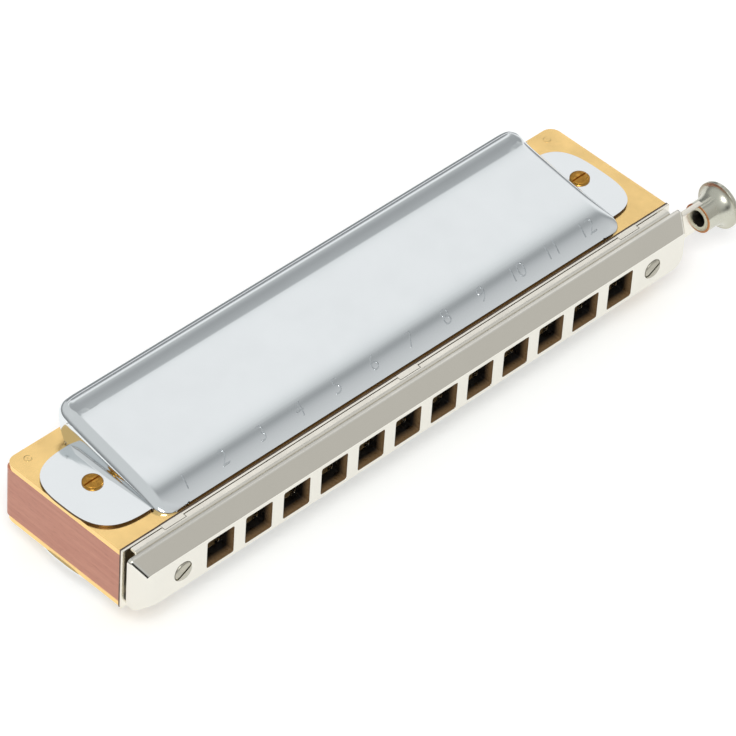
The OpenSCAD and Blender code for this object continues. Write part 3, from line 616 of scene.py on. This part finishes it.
mouthpiece = {
    "faceHalf": 68.7, "backHalf": 70.4,
    "faceHeight": 8.0, "backHeight": 13.8,
    "depth": 3.6, "slopeDepth": 2.75,
    "lowCornerFace": 2.6, "lowCornerBack": 4.0, "topCorner": 0.9,
    "edgeRound": 0.45, "shoulderRound": 0.35, "landFall": 0.1, "backEdge": 0.12,
    "holeWide": 6.5, "holeHigh": 6.3, "holeCorner": 0.4,
    "screwX": 60.1, "screwHead": 2.1, "screwShank": 1.13, "screwSink": 1.3,
    "inner": (1.6, 0.9),     # how far inside its edge the face has more outlines
    "bevel": 0.14,
    "beyond": 2,             # how far the cutters reach past the bar
}


# an outline from (x, y, radius) corners, each arc in so many steps
def arcPath(points, steps=5):
    out = []
    for i, (x, y, r) in enumerate(points):
        b = Vector((x, y))
        if r <= 0:
            out.append(tuple(b))
            continue
        a, c = Vector(points[i - 1][:2]), Vector(points[(i + 1) % len(points)][:2])
        u, v = (a - b).normalized(), (c - b).normalized()
        half = u.angle(v) / 2
        mid = b + (u + v).normalized() * r / math.sin(half)
        p, q = b + u * r / math.tan(half) - mid, b + v * r / math.tan(half) - mid
        start, turn = math.atan2(p.y, p.x), math.atan2(p.x * q.y - p.y * q.x, p.dot(q))
        angles = [start + turn * k / steps for k in range(steps + 1)]
        out += [(mid.x + r * math.cos(a), mid.y + r * math.sin(a)) for a in angles]
    return out


def prism(name, outline, y0, y1):
    return loft(name, [[(x, y, z) for x, z in outline] for y in (y0, y1)])


def joinMeshes(name, meshes):
    bm = bmesh.new()
    for mesh in meshes:
        bm.from_mesh(mesh)
        bpy.data.meshes.remove(mesh)
    out = bpy.data.meshes.new(name)
    bmesh.ops.recalc_face_normals(bm, faces=bm.faces)
    bm.to_mesh(out)
    bm.free()
    return out


def cutAway(mesh, cutter):
    tool = newObject(cutter)
    mesh = modified(mesh, mesh.name,
                    BOOLEAN={"operation": "DIFFERENCE", "solver": "EXACT", "object": tool})
    bpy.data.objects.remove(tool)
    bpy.data.meshes.remove(cutter)
    return mesh


# breaks the edges that are sharper than an angle in degrees
def softEdges(mesh, width, angle):
    bevel = {"width": width * mm, "segments": 2, "limit_method": "ANGLE",
             "angle_limit": math.radians(angle), "use_clamp_overlap": True}
    return modified(smoothFaces(mesh), mesh.name, BEVEL=bevel,
                    WEIGHTED_NORMAL={"keep_sharp": True, "mode": "FACE_AREA"})


holesX = [(i - (common["holes"] - 1) / 2) * common["pitch"] for i in range(common["holes"])]


def mouthpieceMesh():
    m = mouthpiece
    f, b, past = m["faceHeight"] / 2, m["backHeight"] / 2, m["depth"] + m["beyond"]
    path = [(0, f - inner) for inner in m["inner"]]
    path += arcPath([(*path[-1], 0), (0, f, m["edgeRound"]),
                     (m["slopeDepth"], b - m["landFall"], m["shoulderRound"]),
                     (m["depth"] - m["backEdge"], b, 0)])[1:]
    path += [(m["depth"], b - m["backEdge"])]
    rings = []
    for y, h in path:
        s = (h - f) / (b - f)
        w = m["faceHalf"] + (m["backHalf"] - m["faceHalf"]) * s
        low = m["lowCornerFace"] + (m["lowCornerBack"] - m["lowCornerFace"]) * s
        top = m["topCorner"]
        ring = arcPath([(-w, -h, low), (w, -h, low), (w, h, top), (-w, h, top)], 8)
        rings.append([(x, y, z) for x, z in ring])
    body = joinMeshes("mouthpiece", [loft("shell", rings)])
    w, h, r = m["holeWide"] / 2, m["holeHigh"] / 2, m["holeCorner"]
    hole = arcPath([(-w, -h, r), (w, -h, r), (w, h, r), (-w, h, r)], 4)
    cutters = [prism("hole", [(x + middle, z) for x, z in hole], -m["beyond"], past)
               for middle in holesX]
    turns = [math.radians(a) for a in range(0, 360, 10)]
    levels = [(-m["beyond"], m["screwHead"]), (0, m["screwHead"]), (m["screwSink"], m["screwShank"]),
              (past, m["screwShank"])]
    for side in (-1, 1):
        cutters.append(loft("sink", [[(side * m["screwX"] + r * math.cos(a), y, r * math.sin(a))
                                      for a in turns] for y, r in levels]))
    mesh = softEdges(cutAway(body, joinMeshes("holes", cutters)), m["bevel"], 50)
    for face in mesh.polygons:  # the holes' walls take the second finish: dull brown, with painted shade that darkens inwards
        x, y, z = face.center / mm
        near = min(abs(x - middle) for middle in holesX)
        inHole = near < w + 0.03 and abs(z) < h + 0.03 and 0.1 < y < m["depth"] - 0.05
        face.material_index = 1 if inHole else 0
    return mesh


addPiece("mouthpiece", mouthpieceMesh(), ("mouthChrome", "shadedBore"), "body", "mouth_chrome",
         "mouthpiece")
print("stage: mouthpiece")

# sheet and wooden pieces: the CAD solids with their sharp edges broken

softened = {
    # node: piece, width of the broken edge in mm, finish or two, body, slot
    "comb": ("comb", 0.25, "pearWood", "body", "wood"),
    "upper_reed_plate": ("upperReedPlate", 0.08, "rolledBrass", "body", "plate_brass"),
    "lower_reed_plate": ("lowerReedPlate", 0.08, "rolledBrass", "body", "plate_brass"),
    "slide_channel": ("slideChannel", 0.05, "brushedNickel", "body", "slide_nickel"),
    "slide_back_plate": ("slideBackPlate", 0.22, ("brushedNickel", "seamShade"), "body",
                         "slide_nickel"),
    "slide": ("slide", 0.08, ("shadedSlide", "brushedNickel"), "slide", "slide_nickel"),
}
# where the second finish begins: the slide is darker inside the channel than its bright tongue outside,
# which is painted shade, and the back plate's rear edge, against the brass, is dark brown painted shade
secondFinish = {"slide": (0, 66.5), "slide_back_plate": (1, 5.84)}  # axis, place in mm

for node, (name, width, material, body, slotName) in softened.items():
    bm = bmesh.new()
    bm.from_mesh(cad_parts[node].data)
    bmesh.ops.remove_doubles(bm, verts=bm.verts, dist=1e-6)
    bmesh.ops.dissolve_limit(bm, angle_limit=math.radians(0.5), verts=bm.verts, edges=bm.edges)
    axis, place = secondFinish.get(node, (0, None))
    if place is not None:
        normal = Vector([float(k == axis) for k in range(3)])
        cutAcross(bm, normal * place * mm, normal)
    mesh = bpy.data.meshes.new(node)
    bm.to_mesh(mesh)
    bm.free()
    mesh = softEdges(mesh, width, 35)
    mesh.name = name
    if place is not None:
        for face in mesh.polygons:
            face.material_index = 1 if face.center[axis] > place * mm else 0
    addPiece(name, mesh, material, body, slotName, node)
print("stage: comb, plates and slide")

button = {
    "x": 77.05, "y": 4.205,
    "stem": 3.1, "bore": 1.75, "boreDepth": 4.6,
    "flare": 4.9, "rim": 0.9, "length": 6.5, "dome": 0.5, "flankFrom": 2.3,
    "notchHigh": 6.4, "notchDeep": 1.23, "notchThick": 1.26, "notchY": 0.56,
    "edge": ((0, 0.3), (0.07, 0.12), (0.25, 0)),  # the rim's round edge, in from flare and length
    "stemEdge": 0.12, "boreEdge": 0.08, "boreEnd": (0.5, 0.3),
    "wornRing": 0.45,        # width of the worn ring on the stem's end
    "turns": 72,
}


def buttonMesh():
    b = button
    flare, length, bore, stem, turns = b["flare"], b["length"], b["bore"], b["stem"], b["turns"]
    flank = [(stem + (flare - stem) * (1 - math.cos(a)),
              b["flankFrom"] + (length - b["rim"] - b["flankFrom"]) * math.sin(a))
             for a in np.radians(np.arange(0, 91, 6))]
    face = [(flare - inward, length - down) for inward, down in b["edge"]]
    face += [(face[-1][0] * t, length + b["dome"] * (1 - t * t))
             for t in (0.9, 0.75, 0.6, 0.45, 0.3, 0.15)]
    cone, corner = b["boreEnd"]
    inner = [(bore - cone, b["boreDepth"]), (bore, b["boreDepth"] - corner), (bore, b["boreEdge"])]
    outer = [(bore + b["boreEdge"], 0), (stem - b["wornRing"], 0), (stem - b["stemEdge"], 0),
             (stem, b["stemEdge"])] + flank + face
    profile = [(0, b["boreDepth"])] + inner + outer + [(0, length + b["dome"])]
    points, faces, circles = [], [], []
    for r, x in profile:
        if r == 0:
            circles.append([len(points)] * turns)
            points.append((x, 0, 0))
            continue
        circles.append(list(range(len(points), len(points) + turns)))
        points += [(x, r * math.cos(2 * math.pi * k / turns), r * math.sin(2 * math.pi * k / turns))
                   for k in range(turns)]
    for a, c in zip(circles, circles[1:]):
        for k in range(turns):
            q = [a[k], a[(k + 1) % turns], c[(k + 1) % turns], c[k]]
            faces.append(tuple(dict.fromkeys(q)))
    points = [(x + b["x"], y + b["y"], z) for x, y, z in points]
    body = joinMeshes("button", [meshOf("turned", points, faces)])
    # the stem's end is notched for the slide's tongue
    x0, x1, high, thick = b["x"] - 1, b["x"] + b["notchDeep"], b["notchHigh"] / 2, b["notchThick"] / 2
    y = b["y"] + b["notchY"]
    notch = prism("notch", [(x0, -high), (x1, -high), (x1, high), (x0, high)], y - thick, y + thick)
    mesh = softEdges(cutAway(body, notch), 0.05, 60)
    for face in mesh.polygons:
        x, y, z = face.center / mm
        x, out = x - b["x"], math.hypot(y - b["y"], z)
        inBore = x < b["boreDepth"] + 0.1 and out < bore + 0.02
        worn = x < 0.13 and out > stem - b["wornRing"]
        face.material_index = 2 if inBore else 1 if worn else 0
    return mesh


addPiece("button", buttonMesh(), ("wornNickel", "wornEnd", "deepBore"), "slide", "button_nickel",
         "button")
print("stage: button")

# turned fastenings: screws, nuts, nails and rivets, one tree for all

# the profile from the tip of the shank to the middle of the head: each point's height and radius,
# as a start in mm and the shares of the sizes that are added to it
fasteningProfile = (
    ((0, {"length": -1}), (0, {"shank": 0.02})),
    ((0.002, {"length": -1}), (0, {"shank": 0.6})),
    ((0, {"length": -1, "shank": 0.5}), (0, {"shank": 1})),
    ((0, {"sink": -1}), (0, {"shank": 1})),
    ((-0.004, {"side": 0}), (0, {"head": 1})),
    ((0, {"side": 1}), (0, {"head": 1})),
    ((0, {"side": 1, "dome": 0.45}), (0, {"head": 0.96})),
    ((0, {"side": 1, "dome": 0.8}), (0, {"head": 0.88})),
    ((0, {"side": 1, "dome": 0.96}), (0, {"head": 0.7})),
    ((0, {"side": 1, "dome": 1}), (0, {"head": 0.16})),
    ((0, {"side": 1, "dome": 1, "dimple": -1}), (0, {"head": 0.01})),
)
fasteningSizes = ("length", "shank", "sink", "head", "side", "dome", "dimple", "slotWide", "slotDeep")
fasteningSockets = dict.fromkeys(fasteningSizes, "Float") | {"slotted": "Bool", "round": "Int",
                                                             "turn": "Float"}


# a geometry tree on points, with its named inputs; every piece is laid and dressed in one way
def newTree(name, sockets):
    tree = bpy.data.node_groups.new(name, "GeometryNodeTree")
    sockets = {"Geometry": "Geometry"} | sockets | {"lay": "Vector", "material": "Material"}
    for key, kind in sockets.items():
        tree.interface.new_socket(key, in_out="INPUT", socket_type="NodeSocket" + kind)
    tree.interface.new_socket("Geometry", in_out="OUTPUT", socket_type="NodeSocketGeometry")
    add = partial(addNode, tree)
    return add, add("NodeGroupInput").outputs


def finishTree(add, given, geometry):
    real = add("GeometryNodeRealizeInstances", {"Geometry": geometry})
    dress = add("GeometryNodeSetMaterial", {"Geometry": real, "Material": given["material"]})
    return add("NodeGroupOutput", {"Geometry": dress}).id_data


def fasteningTree():
    add, given = newTree("turnedFastening", fasteningSockets)
    index = add("GeometryNodeInputIndex")
    picked = []
    for column in (0, 1):
        switch = add("GeometryNodeIndexSwitch", {"Index": index}, data_type="FLOAT")
        while len(switch.index_switch_items) < len(fasteningProfile):
            switch.index_switch_items.new()
        for k, point in enumerate(fasteningProfile):
            total, shares = point[column][0] * mm, point[column][1]
            for name, share in shares.items():
                total = add("ShaderNodeMath", {0: given[name], 1: share, 2: total},
                            operation="MULTIPLY_ADD")
            setInputs(switch, {k + 1: total})
        picked.append(switch)
    line = add("GeometryNodeMeshLine", {"Count": len(fasteningProfile), "Offset": (0, 0, mm)})
    stood = add("GeometryNodeSetPosition", {"Geometry": line, "Position": (0, 0, picked[0])})
    curve = add("GeometryNodeMeshToCurve", {"Mesh": stood})
    thick = add("GeometryNodeSetCurveRadius", {"Curve": curve, "Radius": picked[1]})
    ring = add("GeometryNodeCurvePrimitiveCircle", {"Resolution": given["round"], "Radius": 1.0})
    body = add("GeometryNodeCurveToMesh", {"Curve": thick, "Profile Curve": ring, "Fill Caps": True,
               "Scale": add("GeometryNodeInputRadius")})
    # the driver's slot is cut with a blade that stands half in the head
    across = add("ShaderNodeMath", {0: given["head"], 1: 4}, operation="MULTIPLY")
    deep = add("ShaderNodeMath", {0: given["slotDeep"], 1: 2}, operation="MULTIPLY")
    blade = add("GeometryNodeMeshCube", {"Size": (across, given["slotWide"], deep)})
    top = add("ShaderNodeMath", {0: given["side"], 1: given["dome"]})
    lift = add("GeometryNodeTransform", {"Geometry": blade, "Translation": (0, 0, top),
               "Rotation": (0, 0, given["turn"])})
    cut = add("GeometryNodeMeshBoolean", {"Mesh 1": body, "Mesh 2": lift}, operation="DIFFERENCE")
    either = add("GeometryNodeSwitch", {"Switch": given["slotted"], "False": body, "True": cut},
                 input_type="GEOMETRY")
    each = add("GeometryNodeInstanceOnPoints", {"Points": given["Geometry"], "Instance": either,
               "Rotation": given["lay"]})
    return finishTree(add, given, each)


# runs a tree on points (in mm) with its named inputs, and returns the plain mesh
def treeMesh(name, tree, points, finishName, values):
    sockets = {item.name: item.identifier for item in tree.interface.items_tree
               if item.in_out == "INPUT"}
    values = values | {"material": materials[finishName]}
    settings = {"node_group": tree} | {sockets[key]: value for key, value in values.items()}
    mesh = modified(meshOf(name + "Points", points, []), name, NODES=settings)
    return smoothFaces(mesh, 32)


# where the reeds lie: the outer ones start at the front, the inner ones beside them at the back
reeds = {"long": 17, "short": 10.5, "shift": 1.5, "pad": 3, "frontRoom": 3.8}
slots = [(x, reeds["long"] + (reeds["short"] - reeds["long"]) * i / (common["holes"] - 1))
         for i, x in enumerate(holesX)]  # middle and length
outerStart = common["combFront"] + reeds["frontRoom"] + reeds["pad"]
innerStart = outerStart - reeds["pad"] / 2
rivetIn = reeds["pad"] / 2
# how far in from the comb's edges the nails are, and how far apart
nails = {"end": 3.55, "back": 2.3, "front": 3.4, "apart": 3 * common["pitch"]}
coverScrew = {"x": 62.03, "y": 21.53}

# lay turns the whole fastening, turn its slot alone
plain = {"lay": (0, 0, 0), "turn": 0.0, "sink": 0.006, "dimple": 0.001, "slotted": False,
         "slotWide": 0.5, "slotDeep": 0.5, "round": 48, "material": "turnedBrass",
         "slotName": "screw_brass"}
upsideDown = (math.pi, 0, 0)
screwSpots = [(side * coverScrew["x"], coverScrew["y"]) for side in (-1, 1)]
turned = {
    # cheese-head screws of the covers, through the comb
    "coverScrews": plain | {
        "places": [(x, y, common["tabTop"]) for x, y in screwSpots], "length": 15.6, "shank": 1.05,
        "head": 1.95, "side": 0.3, "dome": 0.28, "dimple": 0.101, "slotted": True,
        "slotWide": 0.38, "slotDeep": 0.3, "node": "cover_screws"},
    "mouthpieceScrews": plain | {
        "places": [(side * mouthpiece["screwX"], 0, 0) for side in (-1, 1)],
        "lay": (math.pi / 2, 0, 0), "turn": 0.5, "length": 16.23, "shank": 1.1, "sink": 1.276,
        "head": 1.98, "side": 0.02, "dome": 0.33, "slotted": True, "slotDeep": 0.55,
        "material": "screwNickel", "slotName": "mouth_chrome", "node": "mouthpiece_screws"},
    "coverNuts": plain | {
        "places": [(x, y, -common["tabTop"]) for x, y in screwSpots], "lay": upsideDown,
        "length": 0.02, "shank": 1.0, "head": 2.1, "side": 1.0, "dome": 0.2, "slotted": True,
        "slotDeep": 0.4, "node": "cover_nuts"},
}
end, apart = common["combHalf"] - nails["end"], nails["apart"]
nailSpots = [(x, common["combBack"] - nails["back"]) for x in (-end, -apart, 0, apart, end)]
nailSpots += [(x, common["combFront"] + nails["front"]) for x in (-apart, 0, apart)]
outerRivets = [(x - reeds["shift"], outerStart - rivetIn) for x in holesX]
innerRivets = [(x + reeds["shift"], innerStart + long + rivetIn) for x, long in slots]
for half, side in (("upper", 1), ("lower", -1)):
    outer, inner = common["plateTop"] + common["reedThick"], common["plateInner"] - common["reedThick"]
    rows = (("PlateNails", "_plate_nails", nailSpots, common["plateTop"], 1),
            ("OuterRivets", "_reed_rivets", outerRivets, outer, 1),
            ("InnerRivets", "_reed_rivets", innerRivets, inner, -1))
    for tag, node, spots, z, out in rows:
        sizes = {"length": 1.3, "shank": 0.55, "head": 0.85, "side": 0.06, "dome": 0.22, "round": 20}
        if tag == "PlateNails":
            sizes = {"length": 4.55, "shank": 0.45, "head": 0.8, "side": 0.02, "dome": 0.06,
                     "round": 24, "material": "rolledBrass"}
        turned[half + tag] = plain | sizes | {
            "places": [(x, y, z * side) for x, y in spots], "node": half + node,
            "lay": (0, 0, 0) if out * side > 0 else upsideDown}

fastenings = fasteningTree()
for name, t in turned.items():
    values = {key: t[key] * mm for key in fasteningSizes}
    values |= {key: t[key] for key in ("slotted", "round", "turn", "lay")}
    mesh = treeMesh(name, fastenings, t["places"], t["material"], values)
    addPiece(name, mesh, t["material"], "body", t["slotName"], t["node"])
print("stage: screws, nails and rivets")

# reeds and valves: rows of strips, one tree for all

# tip: how far the free end stands off its plate; way is 1 or -1 for strips that point to the back or
# the front, and face for those on the plate's outer or inner face
outerSlots = {"start": outerStart, "shift": -reeds["shift"], "way": 1}
innerSlots = {"start": innerStart, "shift": reeds["shift"], "way": -1}
reedStrip = {"pad": 3.0, "wide": 2.1, "thick": 0.25, "tip": 0.25, "short": 0.1,
             "material": "groundBrass", "slotName": "reed_brass"}
valveStrip = {"pad": 2.1, "wide": 2.6, "thick": 0.12, "tip": 0.12, "material": "valveFilm",
              "slotName": "valve_film"}
strips = {
    "DrawReeds": reedStrip | outerSlots | {"face": 1, "node": "draw_reeds"},
    "BlowReeds": reedStrip | innerSlots | {"face": -1, "node": "blow_reeds"},
    "OuterValves": valveStrip | innerSlots | {"face": 1, "short": -0.6, "node": "outer_valves"},
    "InnerValves": valveStrip | outerSlots | {"face": -1, "short": 0.0, "node": "inner_valves"},
}
stripSockets = dict.fromkeys(("longest", "shortest", "wide", "thick", "pad", "padWide", "tip"),
                             "Float") | {"last": "Int"}


def stripTree():
    add, given = newTree("stripRow", stripSockets)
    thick, pad = given["thick"], given["pad"]
    bar = add("GeometryNodeMeshCube", {"Size": (1, 1, thick), "Vertices Y": 13})
    raised = add("ShaderNodeMath", {0: thick, 1: 0.5}, operation="MULTIPLY")
    tongue = add("GeometryNodeTransform", {"Geometry": bar, "Translation": (0, 0.5, raised)})
    # the tongue bends up by the square of the way to its tip
    where = add("ShaderNodeSeparateXYZ", {0: add("GeometryNodeInputPosition")})
    square = add("ShaderNodeMath", {0: where.outputs["Y"], 1: 2.0}, operation="POWER")
    rise = add("ShaderNodeMath", {0: square, 1: given["tip"]}, operation="MULTIPLY")
    bent = add("GeometryNodeSetPosition", {"Geometry": tongue, "Offset": (0, 0, rise)})
    foot = add("GeometryNodeMeshCube", {"Size": (given["padWide"], pad, thick)})
    backward = add("ShaderNodeMath", {0: pad, 1: -0.5}, operation="MULTIPLY")
    footAt = add("GeometryNodeTransform", {"Geometry": foot, "Translation": (0, backward, raised)})
    share = add("ShaderNodeMath", {0: add("GeometryNodeInputIndex"), 1: given["last"]},
                operation="DIVIDE")
    length = add("ShaderNodeMix", {0: share, 2: given["longest"], 3: given["shortest"]},
                 data_type="FLOAT")
    rows = []
    for piece, scale in ((bent, (given["wide"], length, 1)), (footAt, (1, 1, 1))):
        rows.append(add("GeometryNodeInstanceOnPoints", {"Points": given["Geometry"],
                        "Instance": piece, "Rotation": given["lay"], "Scale": scale}))
    both = add("GeometryNodeJoinGeometry", {0: rows[0]})
    setInputs(both, {0: rows[1]})
    return finishTree(add, given, both)


stripRow = stripTree()
for half, side in (("upper", 1), ("lower", -1)):
    for tag, r in strips.items():
        forward, up = r["way"] > 0, r["face"] * side > 0
        z = common["plateTop" if r["face"] > 0 else "plateInner"]
        places = [(x + r["shift"], r["start"] + (0 if forward else long), z * side) for x, long in slots]
        if up:
            lay = (0, 0, 0) if forward else (0, 0, math.pi)
        else:
            lay = (0, math.pi, 0) if forward else upsideDown
        sizes = {key: r[key] for key in ("wide", "thick", "pad", "tip")} | {
            "longest": slots[0][1] - r["short"], "shortest": slots[-1][1] - r["short"],
            "padWide": max(r["wide"], 2.3)}
        values = {key: size * mm for key, size in sizes.items()}
        values |= {"last": len(slots) - 1, "lay": lay}
        mesh = treeMesh(half + tag, stripRow, places, r["material"], values)
        addPiece(half + tag, mesh, r["material"], "body", r["slotName"], half + "_" + r["node"])
print("stage: reeds and valves")

# return spring: a hairpin of wire between the comb and the slide
spring = {"wire": 0.35, "fixedX": 62.4, "movingX": 67.6, "hookY": 7.83, "hookDeep": 2.4,
          "hookRound": 0.5, "bendY": 14.03, "tipY": 4.365}


def springMesh():
    s = spring
    mid, r = (s["fixedX"] + s["movingX"]) / 2, (s["movingX"] - s["fixedX"]) / 2
    hook = s["hookRound"]
    path = [(s["fixedX"], s["hookY"], -s["hookDeep"])]
    path += [(s["fixedX"], s["hookY"] + hook * (1 - math.cos(a)), -hook + hook * math.sin(a))
             for a in np.radians(np.arange(0, 91, 15))]
    path += [(mid - r * math.cos(a), s["bendY"] + r * math.sin(a), 0)
             for a in np.radians(np.arange(0, 181, 7.5))]
    path += [(s["movingX"], s["tipY"], 0)]
    curve = bpy.data.curves.new("springPath", "CURVE")
    curve.dimensions, curve.use_fill_caps = "3D", True
    curve.bevel_depth, curve.bevel_resolution = s["wire"] * mm, 4
    line = curve.splines.new("POLY")
    line.points.add(len(path) - 1)
    for point, p in zip(line.points, path):
        point.co = (p[0] * mm, p[1] * mm, p[2] * mm, 1)
    return smoothFaces(modified(curve, "returnSpring"), 50)


wire = newObject(springMesh(), "returnSpring")
wire.data.materials.clear()
wire.data.materials.append(materials["drawnSteel"])
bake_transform(wire)
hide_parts("return_spring")
print("stage: spring")

# hole numbers, stamped along the crease of the upper cover
numbers = {
    "size": 4.455, "slant": 0.32, "y": 8.55, "thinner": 0.06,
    "raise": 0.01, "sunk": 0.05,
    # cut in steps over this field (axis, from, to), to bend with the cover
    "step": 0.3, "field": ((0, -58, 58), (1, 7, 14)),
}


def numberMesh():
    n = numbers
    bm = bmesh.new()
    for i, x in enumerate(holesX):
        curve = bpy.data.curves.new("number", "FONT")
        curve.body, curve.size, curve.shear = str(i + 1), n["size"] * mm, n["slant"]
        curve.align_x, curve.offset = "CENTER", -n["thinner"] * mm
        mesh = modified(curve, "number")
        mesh.transform(Matrix.Translation((x * mm, n["y"] * mm, 0)))
        bm.from_mesh(mesh)
        bpy.data.meshes.remove(mesh)
    for axis, low, high in n["field"]:
        for cut in np.arange(low, high, n["step"]):
            place, normal = [0, 0, 0], [0, 0, 0]
            place[axis], normal[axis] = cut * mm, 1
            cutAcross(bm, place, normal)
    p = np.array([v.co[:] for v in bm.verts]) / mm
    p[:, 2] = coverTop(p[:, 1])
    for v, q in zip(bm.verts, p):
        v.co = Vector(q) * mm
    turnUp(bm)
    mesh = bpy.data.meshes.new("holeNumbers")
    bm.to_mesh(mesh)
    bm.free()
    thick = n["raise"] + n["sunk"]
    return modified(mesh, "holeNumbers",
                    SOLIDIFY={"thickness": thick * mm, "offset": n["raise"] / thick * 2 - 1})


addPiece("holeNumbers", numberMesh(), "etchedChrome", "body", "cover_chrome")
print("stage: numbers")
